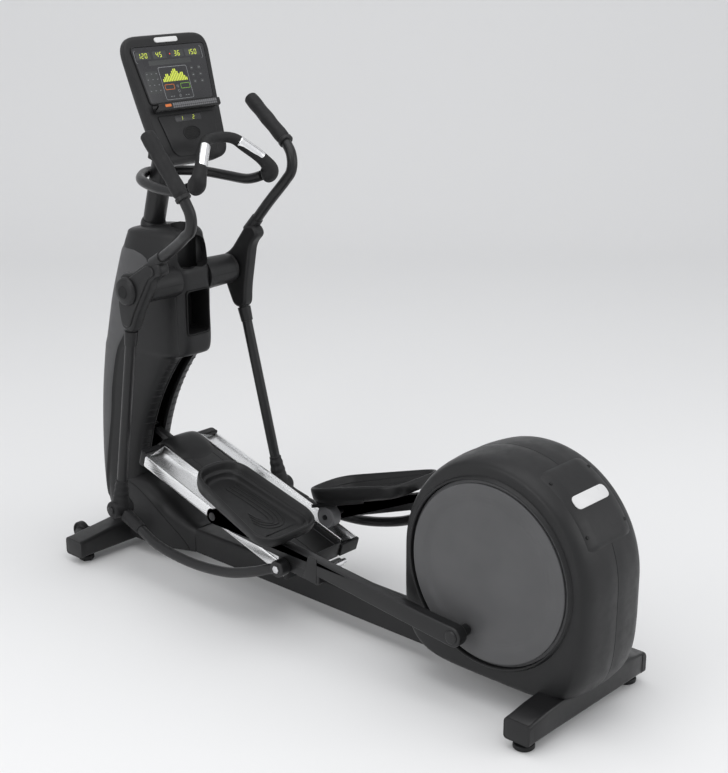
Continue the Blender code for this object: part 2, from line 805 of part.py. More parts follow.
def tower_upper_cover():
    """Top cover of the tower with the cup holder, the mast's collar and the horns' top halves."""
    low = SEAM_Z + GAP
    heights = (low, 1.060, 1.112, 1.125)
    cover = loft("tower_upper_cover", [tower_ring(z) for z in heights])
    as_part(cover, "black_plastic", ROOT)
    inside = [tower_ring(z, -SHELL) for z in (low - 0.02, 1.060, 1.108)]
    core = loft("upper_core", inside)
    cup_wall = cylinder("cup_wall", CUP_RADIUS + SHELL, CUP_FLOOR - SHELL, 1.2, (CUP_X, 0), "Z", 28)
    combine(core, cup_wall)
    combine(core, leaning("mast_wall", MAST_RADIUS + 0.005, 1.012, 1.25))
    combine(cover, leaning("mast_room", MAST_RADIUS + GAP, 0.93, 1.27))
    combine(cover, cylinder("cup_room", CUP_RADIUS, CUP_FLOOR, 1.2, (CUP_X, 0), "Z", 28))
    mouth = [(-0.036, 1.020), (0.036, 1.020), (0.036, 1.070)]
    mouth += arc((0, 1.070), 0.036, 15, 165, 8)
    mouth += [(-0.036, 1.070)]
    combine(cover, prism("cup_mouth", mouth, CUP_X, -0.55, "X"))
    combine(cover, core)
    combine(cover, horn("horn_top", low, 1.06), "UNION")
    combine(cover, shaft_bore("shaft_bore_top"))


def leaning(name, radius, low, high):
    """Round solid along the mast's axis between two heights."""
    (low_x, low_z), (high_x, high_z) = MAST_FOOT, MAST_HEAD
    slope = (high_x - low_x) / (high_z - low_z)
    ends = [(low_x + (z - low_z) * slope, 0, z) for z in (low, high)]
    return tube(name, ends, radius, 4)


def tower_lower_cover():
    """Body of the tower: a shell, hollow for the lift, with a bin mouth and a slot for the ramp."""
    rings = [tower_ring(z) for z in (TOWER_BOTTOM, *TOWER_KNOTS, SEAM_Z - GAP)]
    cover = loft("tower_lower_cover", rings, capped=False, thickness=SHELL)
    as_part(cover, "black_plastic", ROOT)
    slot = box("ramp_slot", (-0.90, -SLOT_HALF_WIDTH, 0.26), (-0.60, SLOT_HALF_WIDTH, 0.712))
    combine(cover, slot)
    half = BEAM_HALF_WIDTH + 0.001
    notch = box("beam_notch", (-0.90, -half, 0.05), (-0.70, half, BEAM_TOP + 0.001))
    combine(cover, notch)
    room = 0.0006
    half = BIN_HALF_WIDTH + room
    mouth_low = (-0.64, -half, BIN_BOTTOM - room)
    mouth_high = (-0.5, half, BIN_TOP + room)
    combine(cover, box("bin_mouth", mouth_low, mouth_high))
    combine(cover, horn("horn_bottom", 0.90, SEAM_Z - GAP), "UNION")
    combine(cover, shaft_bore("shaft_bore_bottom"))


def storage_bin():
    """Open box set into the back of the tower."""
    back = -0.5955
    low = (back - BIN_DEPTH, -BIN_HALF_WIDTH, BIN_BOTTOM)
    high = (back, BIN_HALF_WIDTH, BIN_TOP)
    tray = as_part(box("storage_bin", low, high), "black_plastic", ROOT, False)
    wall = 0.003
    inner_low = [a + wall for a in low]
    inner_high = (back + 0.01, high[1] - wall, high[2] - wall)
    combine(tray, box("bin_room", inner_low, inner_high))


def tower_front_panel():
    """Lighter skin wrapped round the nose of the tower, over both of its covers."""
    rings = []
    for z in (*TOWER_KNOTS, SEAM_Z, 1.040):
        ring = tower_ring(z, 0.0008)
        half = TOWER_POINTS // 2
        rings.append(ring[half - 6:half + 6])
    panel = loft("tower_front_panel", rings, capped=False, thickness=0.002, closed=False)
    panel.modifiers["wall"].offset = 1 if nose_outwards(panel) else -1
    as_part(panel, "grey_plastic", ROOT)


def nose_outwards(panel):
    """Whether the panel's faces look away from the tower's inside."""
    middle = Vector((-0.85, 0, 0.6))
    return sum((f.center - middle).dot(f.normal) for f in panel.data.polygons) > 0


def base_cover():
    """Flared skirt behind the foot of the tower, down to the beam cover."""
    stations = (
        # place, half width, top
        (-0.590, 0.054, 0.137),
        (-0.620, 0.064, 0.150),
        (-0.670, 0.083, 0.182),
        (-0.730, 0.097, 0.216),
        (-0.790, 0.103, 0.245),
        (-0.845, 0.104, 0.262),
    )
    rings = []
    for x, half, top in stations:
        low = BEAM_COVER_BOTTOM
        side = [(x, half, low), (x, half, (low + top) / 2), (x, half - 0.004, top - 0.018)]
        side += [(x, half - 0.016, top - 0.004), (x, half / 2, top)]
        rings.append(side + [(x, -y, z) for x, y, z in reversed(side)])
    cover = loft("base_cover", rings, capped=False, thickness=SHELL, closed=False)
    cover.modifiers["wall"].offset = -1 if top_outwards(cover) else 1
    as_part(cover, "black_plastic", ROOT)


def top_outwards(shell):
    """Whether a cover's faces look up and out."""
    return sum(f.normal.z * f.area for f in shell.data.polygons) > 0


def beam_cover():
    """Long moulded cover over the beam, from the base cover to the drive cover."""
    half = BEAM_COVER_HALF_WIDTH
    low = BEAM_COVER_BOTTOM
    top = BEAM_COVER_TOP
    wall = 0.003
    outline = [(-half, low)]
    outline += arc((-half + 0.012, top - 0.012), 0.012, 180, 90, 3)
    outline += arc((half - 0.012, top - 0.012), 0.012, 90, 0, 3)
    outline += [(half, low), (half - wall, low)]
    outline += arc((half - 0.012, top - 0.012), 0.012 - wall, 0, 90, 3)
    outline += arc((-half + 0.012, top - 0.012), 0.012 - wall, 90, 180, 3)
    outline += [(-half + wall, low)]
    front = -0.590 + GAP
    rear = CRANK_X - COVER_FRONT + 0.030
    as_part(prism("beam_cover", outline, front, rear, "X"), "black_plastic", ROOT)


# Console and handrail

def console_frame():
    """Frame on the console's face: Y across, Z up the face, X out towards the user."""
    ob = bpy.data.objects.new("console_axis", None)
    PARTS.objects.link(ob)
    ob.location = (CONSOLE_FOOT[0], 0, CONSOLE_FOOT[1])
    ob.rotation_euler = (0, -CONSOLE_TILT, 0)
    return ob


def console_width(height):
    """Half width of the console at a height up its face."""
    part = height / CONSOLE_HEIGHT
    return CONSOLE_FOOT_HALF_WIDTH + (CONSOLE_TOP_HALF_WIDTH - CONSOLE_FOOT_HALF_WIDTH) * part


def console_shell(axis):
    """Rounded slab that houses the display, with a pocket for the mast."""
    stations = (
        # height, width taken off each side, depth, step back of the face
        (0.000, 0.030, 0.030, 0.012),
        (0.012, 0.008, 0.052, 0.003),
        (0.040, 0.000, CONSOLE_DEPTH, 0.000),
        (0.200, 0.000, CONSOLE_DEPTH, 0.000),
        (CONSOLE_HEIGHT - 0.030, 0.000, 0.045, 0.000),
        (CONSOLE_HEIGHT - 0.008, 0.006, 0.034, 0.002),
        (CONSOLE_HEIGHT, 0.024, 0.020, 0.008),
    )
    rings = []
    for height, less, depth, back in stations:
        half = console_width(height) - less
        flat = rounded_rectangle((-back - depth, -half), (-back, half), 0.009)
        rings.append([(x, y, height) for x, y in flat])
    shell = as_part(loft("console_shell", rings), "black_plastic", axis)
    pocket = leaning("mast_pocket", MAST_RADIUS + GAP, MAST_FOOT[1], MAST_HEAD[1] + 0.001)
    combine(shell, pocket)
    pocket.parent = None


def console_face(axis):
    """Dark glass over the display, and the ledge below it for a phone or a magazine."""
    low = 0.190
    high = CONSOLE_HEIGHT - 0.018
    edge = 0.018
    low_half = console_width(low) - edge
    high_half = console_width(high) - edge
    outline = [(-low_half, low), (low_half, low), (high_half, high - 0.010)]
    outline += [(high_half - 0.010, high), (-high_half + 0.010, high), (-high_half, high - 0.010)]
    as_part(prism("console_face", outline, GAP, 0.0025, "X"), "glass", axis)
    ledge = box(
        "reading_shelf",
        (GAP, -console_width(0.17) + 0.016, 0.160),
        (0.032, console_width(0.17) - 0.016, low - 0.003),
        0.004,
    )
    as_part(ledge, "grey_plastic", axis)


def handrail():
    """Tube that runs from each hand grip round the front of the mast."""
    slope = (MAST_HEAD[0] - MAST_FOOT[0]) / (MAST_HEAD[1] - MAST_FOOT[1])
    height = 1.300
    radius = 0.016
    mast_x = MAST_FOOT[0] + (height - MAST_FOOT[1]) * slope
    front = mast_x - MAST_RADIUS / math.cos(math.atan(slope)) - radius - GAP * 4
    half = [
        (-0.440, 0.152, 1.312), (-0.525, 0.152, 1.290), (-0.605, 0.148, 1.292),
        (-0.690, 0.126, 1.298), (-0.760, 0.072, height),
    ]
    points = [(x, -y, z) for x, y, z in half] + [(front, 0, height)] + half[::-1]
    as_part(tube("handrail", smooth_path(points, 3), radius), "black_paint", ROOT)


def hand_grips():
    """Moulded grip: up from each end of the handrail and across in front of the console."""
    half = [
        (-0.4226, 0.1515, 1.318), (-0.412, 0.150, 1.340), (-0.436, 0.120, 1.376),
        (-0.460, 0.080, 1.414), (-0.477, 0.050, 1.434),
    ]
    points = [(x, -y, z) for x, y, z in half] + [(-0.482, 0, 1.438)] + half[::-1]
    as_part(tube("hand_grips", smooth_path(points, 3), 0.0205), "rubber", ROOT)


# Handlebars and their links

def turned(point, angle):
    """A point in the XZ plane turned about the origin, from +X towards +Z."""
    x, z = point
    return (
        x * math.cos(angle) - z * math.sin(angle),
        x * math.sin(angle) + z * math.cos(angle),
    )


def handlebar_shaft():
    """Shaft through the tower on which both handlebars swing."""
    end = ARM_Y + 0.030
    shaft = cylinder("handlebar_shaft", PIVOT_SHAFT_RADIUS, -end, end, (PIVOT_X, PIVOT_Z), steps=20)
    as_part(shaft, "steel", ROOT)


def handlebar(side, word):
    """One swinging bar: housing, upper tube, grip and lower tube, drawn upright."""
    axis = empty(f"handlebar_axis_{word}", (PIVOT_X, 0, PIVOT_Z), -side * ARM_SWING)
    pivot_housing(side, word, axis)
    y = side * ARM_Y
    out = side * 0.279
    points = [
        (0.094, y, 0.124), (0.180, side * (ARM_Y + 0.014), 0.200), (0.250, side * 0.256, 0.264),
        (0.281, side * 0.264, 0.306), (0.278, side * 0.270, 0.345), (0.256, side * 0.277, 0.377),
    ]
    grip_low = Vector((0.2560, out, 0.3820))
    grip_high = Vector((0.0917, side * 0.300, 0.5413))
    path = smooth_path(points, 3)
    as_part(tube(f"handlebar_{word}", path, BAR_RADIUS), "black_paint", axis)
    along = (grip_high - grip_low).normalized()
    start = grip_low + along * 0.004
    grip = tube(f"handlebar_grip_{word}", [tuple(start), tuple(grip_high)], GRIP_RADIUS, 3)
    as_part(soften(grip, 0.006), "rubber", axis)
    as_part(tube(f"lower_arm_{word}", lower_line(side, 0.0, 0.940), BAR_RADIUS), "black_paint", axis)
    return axis


def lower_line(side, start, end):
    """Two points on the line of the lower tube, as shares of the way down to the boot."""
    top = Vector((0.004, side * ARM_Y, -0.118))
    foot = Vector((LOWER_END[0], side * LOWER_END_Y, LOWER_END[1]))
    return [tuple(top.lerp(foot, start)), tuple(top.lerp(foot, end))]


def pivot_housing(side, word, axis):
    """Three-cornered casting that holds the upper and lower tubes to the shaft."""
    half = 0.021
    inner = side * (ARM_Y - half)
    outer = side * (ARM_Y + half)
    outline = arc((0, 0), 0.046, 110, 200, 5)
    outline += arc((0.004, -0.130 + 0.020), 0.024, 200, 340, 4)
    outline += arc((0.112, 0.105), 0.026, -40, 125, 4)
    low, high = sorted((inner, outer))
    body = as_part(prism(f"pivot_housing_{word}", outline, low, high), "black_plastic", axis)
    bore = cylinder(
        f"housing_bore_{word}", PIVOT_SHAFT_RADIUS + RUNNING_GAP, *sorted((side * 0.15, side * 0.3)),
        steps=20,
    )
    combine(body, bore)
    for end, points in (
        ("top", [(0.084, side * (ARM_Y - 0.0016), 0.1152), (0.180, side * (ARM_Y + 0.014), 0.200)]),
        ("low", lower_line(side, -0.002, 0.2)),
    ):
        combine(body, tube(f"socket_{end}_{word}", points, BAR_RADIUS + 0.001, 4))


def lower_boot(side, word, arm_axis):
    """Rubber-booted joint at the foot of a handlebar."""
    axis = empty(f"boot_axis_{word}", (LOWER_END[0], 0, LOWER_END[1]), side * ARM_SWING, arm_axis)
    profile = [
        (0, 0.034), (0.022, 0.034), (0.030, 0.026), (0.031, -0.022), (0.024, -0.032), (0, -0.032),
    ]
    boot = lathe(f"lower_boot_{word}", profile, 24)
    boot.data.transform(Matrix.Translation((0, side * LOWER_END_Y, 0)))
    as_part(boot, "rubber", axis)
    return axis



def link(side, word, boot_axis):
    """Curved tube from the boot back to the pedal arm."""
    height = PIVOT_Z + turned(LOWER_END, side * ARM_SWING)[1]
    pitch = -math.asin((LINK_END_Z[side] - height) / LINK_LENGTH)
    axis = empty(f"link_axis_{word}", (0, 0, 0), pitch, boot_axis)
    y = side * LOWER_END_Y
    out = side * (LOWER_END_Y + 0.012)
    length = LINK_LENGTH
    points = [
        (0.0300, y, -0.018), (0.085, y, -0.040), (0.200, out, -0.076), (0.360, out, -0.091),
        (0.520, out, -0.076), (0.640, out, -0.040), (length - 0.020, y, -0.006), (length + 0.006, y, 0),
    ]
    bar = tube(f"link_{word}", smooth_path(points, 3), LINK_RADIUS)
    as_part(bar, "black_paint", axis)
    head = cylinder(f"link_head_{word}", 0.026, y - 0.018, y + 0.018, (length, 0), steps=16)
    combine(bar, head, "UNION")


# Ramp and lift

def ramp_deck():
    """Centre of the ramp with its front cap, its rear hinge lugs and the tongue to the lift."""
    half = TRACK_INNER_Y - GAP
    outline = rounded_rectangle((-half, TRACK_BOTTOM), (half, DECK_TOP), 0.004)
    front = RAMP_FRONT + 0.010
    deck = prism("ramp_deck", outline, front, RAMP_REAR - 0.004, "X")
    as_part(deck, "black_plastic", RAMP)
    cap_side = [
        (RAMP_FRONT, -0.020), (RAMP_FRONT + 0.006, 0.030), (RAMP_FRONT + 0.030, 0.048),
        (RAMP_FRONT + 0.080, 0.046), (RAMP_FRONT + 0.135, 0.034), (RAMP_FRONT + 0.150, 0.026),
        (RAMP_FRONT + 0.150, -0.020),
    ]
    combine(deck, prism("ramp_cap", cap_side, -half + 0.001, half - 0.001), "UNION")
    tongue = [
        (-TONGUE_REACH, -0.006), (-TONGUE_REACH, 0.012), (RAMP_FRONT + 0.05, 0.012),
        (RAMP_FRONT + 0.05, -0.020),
    ]
    combine(deck, prism("ramp_tongue", tongue, -0.012, 0.012), "UNION")
    lug = arc((0, 0), 0.018, -150, 60, 8) + [(-0.060, 0.0), (-0.060, -0.026)]
    for place, low in (("left", -0.038), ("right", 0.026)):
        combine(deck, prism(f"ramp_lug_{place}", lug, low, low + 0.012), "UNION")
    pin = cylinder("ramp_pin_room", 0.008 + RUNNING_GAP, -0.05, 0.05, steps=16)
    combine(deck, pin)


def ramp_tracks():
    """Aluminium extrusions on both sides of the deck: a trough with a raised lip each side."""
    inner = TRACK_INNER_Y
    outer = TRACK_OUTER_Y
    floor = TRACK_FLOOR
    low = TRACK_BOTTOM
    half = [
        (inner, low), (inner + 0.006, low), (inner + 0.006, floor - 0.008),
        (outer - 0.006, floor - 0.008), (outer - 0.006, low), (outer, low), (outer, floor + 0.003),
        (outer - 0.004, floor + 0.007), (outer - 0.008, floor + 0.004), (outer - 0.012, floor),
        (inner + 0.014, floor), (inner + 0.009, 0.030), (inner + 0.005, 0.034), (inner, 0.031),
    ]
    for side, word in SIDES:
        outline = [(side * y, z) for y, z in half]
        track = prism(f"ramp_track_{word}", outline, RAMP_FRONT + 0.014, RAMP_REAR, "X")
        as_part(track, "aluminium", RAMP)


def ramp_hinge():
    """Bracket on the beam cover's line that carries the ramp's rear pin."""
    x, z = RAMP_PIVOT_X, RAMP_PIVOT_Z
    base = BEAM_COVER_TOP + GAP
    side = arc((x, z), 0.016, -20, 200, 8)
    side += [(x - 0.034, base), (x + 0.034, base)]
    hinge = prism("ramp_hinge", side, -0.0255, 0.0255)
    as_part(hinge, "black_paint", ROOT)
    pin = cylinder("ramp_pin", 0.008, -0.048, 0.048, (x, z), steps=16)
    combine(hinge, pin, "UNION")


def lift_line():
    """Ends of the nut's straight travel, in the machine's own frame."""
    ends = []
    for lift in (0.0, RAMP_LIFT):
        angle = RAMP_ANGLE + lift
        ends.append((
            RAMP_PIVOT_X - NUT_REACH * math.cos(angle),
            RAMP_PIVOT_Z + NUT_REACH * math.sin(angle),
        ))
    return ends


def lift_parts():
    """Motor, lead screw and travelling nut that raise the front of the ramp."""
    (low_x, low_z), (high_x, high_z) = lift_line()
    along = Vector((high_x - low_x, 0, high_z - low_z)).normalized()
    rest = Vector((low_x, 0, low_z))
    end = Vector((high_x, 0, high_z))
    screw = tube("lift_screw", [tuple(rest - along * 0.090), tuple(end + along * 0.035)], 0.008)
    as_part(screw, "steel", ROOT)
    motor = tube(
        "lift_motor", [tuple(rest - along * 0.175), tuple(rest - along * (0.090 + GAP))], 0.024, 4
    )
    as_part(motor, "black_paint", ROOT)
    turn = math.atan2(along.x, along.z)
    axis = empty("lift_axis", rest, turn)
    nut = box("lift_nut", (-0.020, -0.024, -0.018), (0.020, 0.024, 0.018), 0.003)
    as_part(nut, "steel", axis)
    combine(nut, cylinder("nut_bore", 0.008 + RUNNING_GAP, -0.05, 0.05, (0, 0), "Z", 16))


# Pedals

def roller_place(side):
    """Centre of a roller on its track, in the ramp's frame."""
    return (ROLLER_AT[side], TRACK_FLOOR + ROLLER_RADIUS + GAP)


def to_world(point):
    """From the ramp's frame to the machine's, in the XZ plane."""
    x, z = point
    return (
        RAMP_PIVOT_X + x * math.cos(RAMP_ANGLE) + z * math.sin(RAMP_ANGLE),
        RAMP_PIVOT_Z - x * math.sin(RAMP_ANGLE) + z * math.cos(RAMP_ANGLE),
    )


def crank_pin(side):
    """Centre of a crank pin at rest; the right one is opposite the left."""
    angle = CRANK_ANGLE if side < 0 else CRANK_ANGLE + math.pi
    return (CRANK_X + CRANK_RADIUS * math.cos(angle), CRANK_Z + CRANK_RADIUS * math.sin(angle))


def roller_parts(side, word):
    """Axle and roller that carry the front of a pedal arm along the ramp."""
    x, z = to_world(roller_place(side))
    axis = empty(f"roller_axis_{word}", (x, 0, z))
    inner = ROLLER_Y - ROLLER_WIDTH / 2 - 0.004
    outer = RAIL_Y + RAIL_HALF_WIDTH + 0.004
    low, high = sorted((side * inner, side * outer))
    as_part(cylinder(f"roller_axle_{word}", AXLE_RADIUS, low, high, steps=16), "steel", axis)
    bore = AXLE_RADIUS + RUNNING_GAP
    half = ROLLER_WIDTH / 2
    radius = ROLLER_RADIUS
    profile = [
        (radius, half - 0.004), (radius, -half + 0.004), (radius - 0.004, -half),
        (bore, -half), (bore, half), (radius - 0.004, half),
    ]
    wheel = lathe(f"roller_{word}", profile, 28)
    wheel.data.transform(Matrix.Translation((0, side * ROLLER_Y, 0)))
    as_part(wheel, "grey_plastic", axis)


def pedal_arm(side, word):
    """Long arm from the roller back to the crank pin, with a bracket for the handlebar's link."""
    x, z = to_world(roller_place(side))
    pin_x, pin_z = crank_pin(side)
    pitch = -math.atan2(pin_z - z, pin_x - x)
    axis = empty(f"pedal_arm_axis_{word}", (x, 0, z), pitch)
    low, high = sorted((side * (RAIL_Y - RAIL_HALF_WIDTH), side * (RAIL_Y + RAIL_HALF_WIDTH)))
    tall = RAIL_HALF_HEIGHT
    outline = arc((0, 0), 0.020, 100, 260, 6)
    outline += [(0.080, -tall + 0.006), (RAIL_LENGTH * 0.6, -tall + 0.002)]
    outline += arc((RAIL_LENGTH, 0), 0.030, -90, 90, 8)
    outline += [(RAIL_LENGTH * 0.6, tall), (0.080, tall)]
    arm = as_part(prism(f"pedal_arm_{word}", outline, low, high), "black_paint", axis)
    reach = sorted((side * 0.1, side * 0.3))
    bore = cylinder(f"axle_bore_{word}", AXLE_RADIUS + RUNNING_GAP, *reach, steps=16)
    combine(arm, bore)
    pin_ends = sorted((side * (COVER_RIM_Y + 0.002), side * RAIL_Y))
    pin = cylinder(f"crank_pin_{word}", 0.017, *pin_ends, (RAIL_LENGTH, 0), steps=16)
    combine(arm, pin, "UNION")
    bracket = box(
        f"link_bracket_{word}",
        (0.290, min(side * 0.190, side * 0.2185), -0.052),
        (0.460, max(side * 0.190, side * 0.2185), -0.015),
    )
    combine(arm, bracket, "UNION")
    pedal(side, word, axis)


def pedal_outline(inset, z, side):
    """Plan of the pedal: round-cornered, its outer side flaring towards the heel."""
    front, rear = -0.062, 0.352
    inner_y = 0.088
    corners = (
        ((front + 0.060, inner_y + 0.060), 0.060, 180, 270),
        ((rear - 0.050, inner_y + 0.050), 0.050, 270, 360),
        ((rear - 0.060, 0.336 - 0.060), 0.060, 0, 75),
        ((front + 0.085, 0.276 - 0.085), 0.085, 105, 180),
    )
    points = []
    for centre, radius, start, end in corners:
        points += arc(centre, radius - inset, start, end, 5)
    ring = [(x, side * y, z) for x, y in points]
    return ring


def pedal(side, word, axis):
    """Moulded foot tray with a raised rim."""
    tilt = empty(f"pedal_tilt_{word}", (0, 0, PEDAL_HEIGHT[side]), PEDAL_PITCH[side], axis)
    rings = [
        pedal_outline(0.020, -0.060, side),
        pedal_outline(0.006, -0.050, side),
        pedal_outline(0.000, -0.002, side),
        pedal_outline(0.002, 0.000, side),
        pedal_outline(0.009, 0.000, side),
        pedal_outline(0.011, -0.002, side),
        pedal_outline(0.024, -0.044, side),
        pedal_outline(0.030, -0.048, side),
    ]
    as_part(loft(f"pedal_{word}", rings), "rubber", tilt)


def build():
    """Make every piece."""
    main_beam()
    front_foot()
    rear_foot()
    transport_wheels()
    levellers()
    frame_post()
    mast()
    drive_frame()
    crank_parts()
    generator()
    rear_covers()
    rear_top_cap()
    tower_upper_cover()
    tower_lower_cover()
    storage_bin()
    tower_front_panel()
    base_cover()
    beam_cover()
    face = console_frame()
    console_shell(face)
    console_face(face)
    handrail()
    hand_grips()
    handlebar_shaft()
    ramp_deck()
    ramp_tracks()
    ramp_hinge()
    lift_parts()
    for side, word in SIDES:
        arm = handlebar(side, word)
        boot = lower_boot(side, word, arm)
        link(side, word, boot)
        roller_parts(side, word)
        pedal_arm(side, word)


build()
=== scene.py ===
"""Looks of an elliptical trainer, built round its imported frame.

Metres, +Z up, +X towards the crank end behind the user, +Y to the user's right.
Run it as a script; it lays its pieces out as operators so that each can be made again from the panel.
"""

import json
import math

import bmesh
import bpy
import numpy as np
from bpy.props import FloatProperty, FloatVectorProperty, PointerProperty
from mathutils import Matrix, Vector


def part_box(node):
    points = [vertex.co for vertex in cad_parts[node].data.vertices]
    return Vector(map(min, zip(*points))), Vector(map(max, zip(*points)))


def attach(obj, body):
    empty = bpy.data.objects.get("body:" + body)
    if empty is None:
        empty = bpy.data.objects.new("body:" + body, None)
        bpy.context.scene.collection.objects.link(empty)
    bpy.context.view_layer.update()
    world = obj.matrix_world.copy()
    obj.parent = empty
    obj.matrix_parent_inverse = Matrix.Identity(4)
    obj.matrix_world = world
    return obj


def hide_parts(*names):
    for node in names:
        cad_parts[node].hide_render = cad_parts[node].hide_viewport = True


bl_info = {
    "name": "Elliptical Trainer",
    "version": (1, 0, 0),
    "blender": (4, 5, 0),
    "location": "View3D > Sidebar > Trainer",
    "description": "Makes the covers, bars, pedals, ramp and console of an elliptical trainer",
    "category": "Object",
}

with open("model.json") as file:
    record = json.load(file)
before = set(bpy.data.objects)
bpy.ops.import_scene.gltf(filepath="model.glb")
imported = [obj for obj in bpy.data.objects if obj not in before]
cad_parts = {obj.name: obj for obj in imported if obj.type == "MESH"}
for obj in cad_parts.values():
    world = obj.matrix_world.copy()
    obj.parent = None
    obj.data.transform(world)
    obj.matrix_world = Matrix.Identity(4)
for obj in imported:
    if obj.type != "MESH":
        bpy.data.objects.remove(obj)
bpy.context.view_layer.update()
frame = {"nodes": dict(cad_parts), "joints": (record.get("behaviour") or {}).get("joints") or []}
JOINTS = {joint["name"]: joint for joint in frame["joints"]}
SIDES = ((-1, "left"), (1, "right"))

# Places taken from the frame


def joint_place(name):
    """A joint's place in the row frame as an array."""
    return np.array(JOINTS[name]["pos_m"], float)


CRANK = joint_place("crank_spin")
PIVOT = joint_place("handlebar_swing_left")
RAMP = joint_place("ramp_lift")
RAMP_ANGLE = math.asin(-JOINTS["stride_left"]["axis"][2])
REAR_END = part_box("rear_cover_left")[1][0]
COVER_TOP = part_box("rear_cover_left")[1][2] - CRANK[2]
COVER_FRONT = CRANK[0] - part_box("rear_cover_left")[0][0]
DISC_RADIUS = (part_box("crank_disc_left")[1][0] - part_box("crank_disc_left")[0][0]) / 2
TRACK_INNER, TRACK_OUTER = (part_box("ramp_track_right")[k][1] for k in (0, 1))
FOOT_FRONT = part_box("front_foot")
FOOT_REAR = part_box("rear_foot")
BAR_SWING = math.radians(10.3)  # each handlebar's lean at rest
CRANK_THROW = 0.19
CRANK_TURN = math.radians(251.6)  # left pin, from +X towards +Z
CONSOLE_FOOT = np.array([-0.566, 0.0, 1.362])
CONSOLE_TILT = math.radians(21)
CONSOLE_HEIGHT = 0.405
CONSOLE_FOOT_HALF = 0.122  # half width at the foot
CONSOLE_SPREAD = 0.045  # what each side gains up to the top
COVER_FLOOR = 0.050  # underside of the covers over the beam
FRONT_FOOT_X = -0.908
REAR_FOOT_X = 0.914
MAST_FOOT = np.array([-0.806, 0.0, 1.100])
MAST_HEAD = np.array([-0.728, 0.0, 1.375])
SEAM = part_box("tower_lower_cover")[1][2] + 0.0004
ALONG_Y = np.array([0.0, 1.0, 0.0])
ALONG_Z = np.array([0.0, 0.0, 1.0])


# Mesh building


def new_piece(name, points, faces, crease=38.0):
    """A smooth-shaded object from points and faces, its doubles merged and its faces turned outwards."""
    mesh = bpy.data.meshes.new(name)
    mesh.from_pydata(np.asarray(points, float).reshape(-1, 3).tolist(), [], faces)
    bm = bmesh.new()
    bm.from_mesh(mesh)
    bmesh.ops.remove_doubles(bm, verts=bm.verts, dist=1e-6)
    bmesh.ops.recalc_face_normals(bm, faces=bm.faces)
    bm.to_mesh(mesh)
    bm.free()
    mesh.shade_smooth()
    mesh.set_sharp_from_angle(angle=math.radians(crease))
    piece = bpy.data.objects.new(name, mesh)
    bpy.context.scene.collection.objects.link(piece)
    return piece


def skin_faces(rows, columns, caps=True, start=0):
    """Quads of a grid that closes on itself along its columns, with its two end rows filled."""
    index = np.arange(rows * columns).reshape(rows, columns) + start
    turn = np.roll(index, -1, axis=1)
    quads = np.stack([index[:-1], turn[:-1], turn[1:], index[1:]], axis=-1).reshape(-1, 4).tolist()
    if caps:
        quads += [index[0, ::-1].tolist(), index[-1].tolist()]
    return quads


def skin(name, grid, crease=38.0, caps=True):
    """A solid from a grid of rows of points, each row a closed ring."""
    rows, columns = grid.shape[:2]
    return new_piece(name, grid, skin_faces(rows, columns, caps), crease)


def skins(name, grids, crease=38.0):
    """Several closed skins in one object."""
    points, faces, start = [], [], 0
    for grid in grids:
        rows, columns = grid.shape[:2]
        points.append(grid.reshape(-1, 3))
        faces += skin_faces(rows, columns, True, start)
        start += rows * columns
    return new_piece(name, np.concatenate(points), faces, crease)


def unit(v):
    """Vectors along the last axis, scaled to length one."""
    return v / np.maximum(np.linalg.norm(v, axis=-1, keepdims=True), 1e-12)


def smooth(points, count, ends=False):
    """A Catmull-Rom curve through the points: count places, closer together at its ends if asked."""
    knots = np.asarray(points, float)
    padded = np.concatenate([[2 * knots[0] - knots[1]], knots, [2 * knots[-1] - knots[-2]]])
    share = np.linspace(0, 1, count)
    if ends:
        share = (1 - np.cos(np.pi * share)) / 2
    reach = share * (len(knots) - 1)
    part = np.minimum(reach.astype(int), len(knots) - 2)
    t = (reach - part)[:, None]
    a, b, c, d = (padded[part + k] for k in range(4))
    return 0.5 * (
        2 * b + (c - a) * t + (2 * a - 5 * b + 4 * c - d) * t**2 + (3 * b - a - 3 * c + d) * t**3
    )


def circle(radius, sides=28, power=1.0):
    """Points of a superellipse: cosine and sine of the turn raised to a power, times the radii."""
    turn = np.linspace(0, 2 * np.pi, sides, endpoint=False)
    radii = np.broadcast_to(radius, 2)
    across = np.sign(np.cos(turn)) * np.abs(np.cos(turn)) ** power
    up = np.sign(np.sin(turn)) * np.abs(np.sin(turn)) ** power
    return np.stack([across * radii[0], up * radii[1]], axis=-1)


def carried(path, section, square, scale=None):
    """Grid of a flat section carried along a path.

    Each section point is the path's point plus its two numbers times the path's side and upright directions,
    which are the cross products of the path's direction and the given one.
    """
    tangent = unit(np.gradient(path, axis=0))
    side = unit(np.cross(tangent, square))
    up = np.cross(side, tangent)
    size = np.ones(len(path)) if scale is None else np.asarray(scale)
    size = size[:, None, None]
    return path[:, None] + size * (
        section[None, :, :1] * side[:, None] + section[None, :, 1:] * up[:, None]
    )


def rounded_ends(path, blend):
    """Scale along a path that falls to a tenth at both ends as a quarter ellipse of that length."""
    step = np.linalg.norm(np.diff(path, axis=0), axis=1)
    run = np.concatenate([[0], np.cumsum(step)])
    near = np.minimum(run, run[-1] - run) / max(blend, 1e-9)
    return np.sqrt(np.clip(1 - (1 - np.clip(near, 0, 1)) ** 2, 0.01, 1))


def rod(name, path, radius, square, ends=0.0, sides=28, scale=None):
    """A round bar along a path, its ends rounded over a length."""
    size = np.ones(len(path)) if scale is None else np.asarray(scale)
    if ends:
        size = size * rounded_ends(path, ends)
    return skin(name, carried(path, circle(radius, sides), square, size))


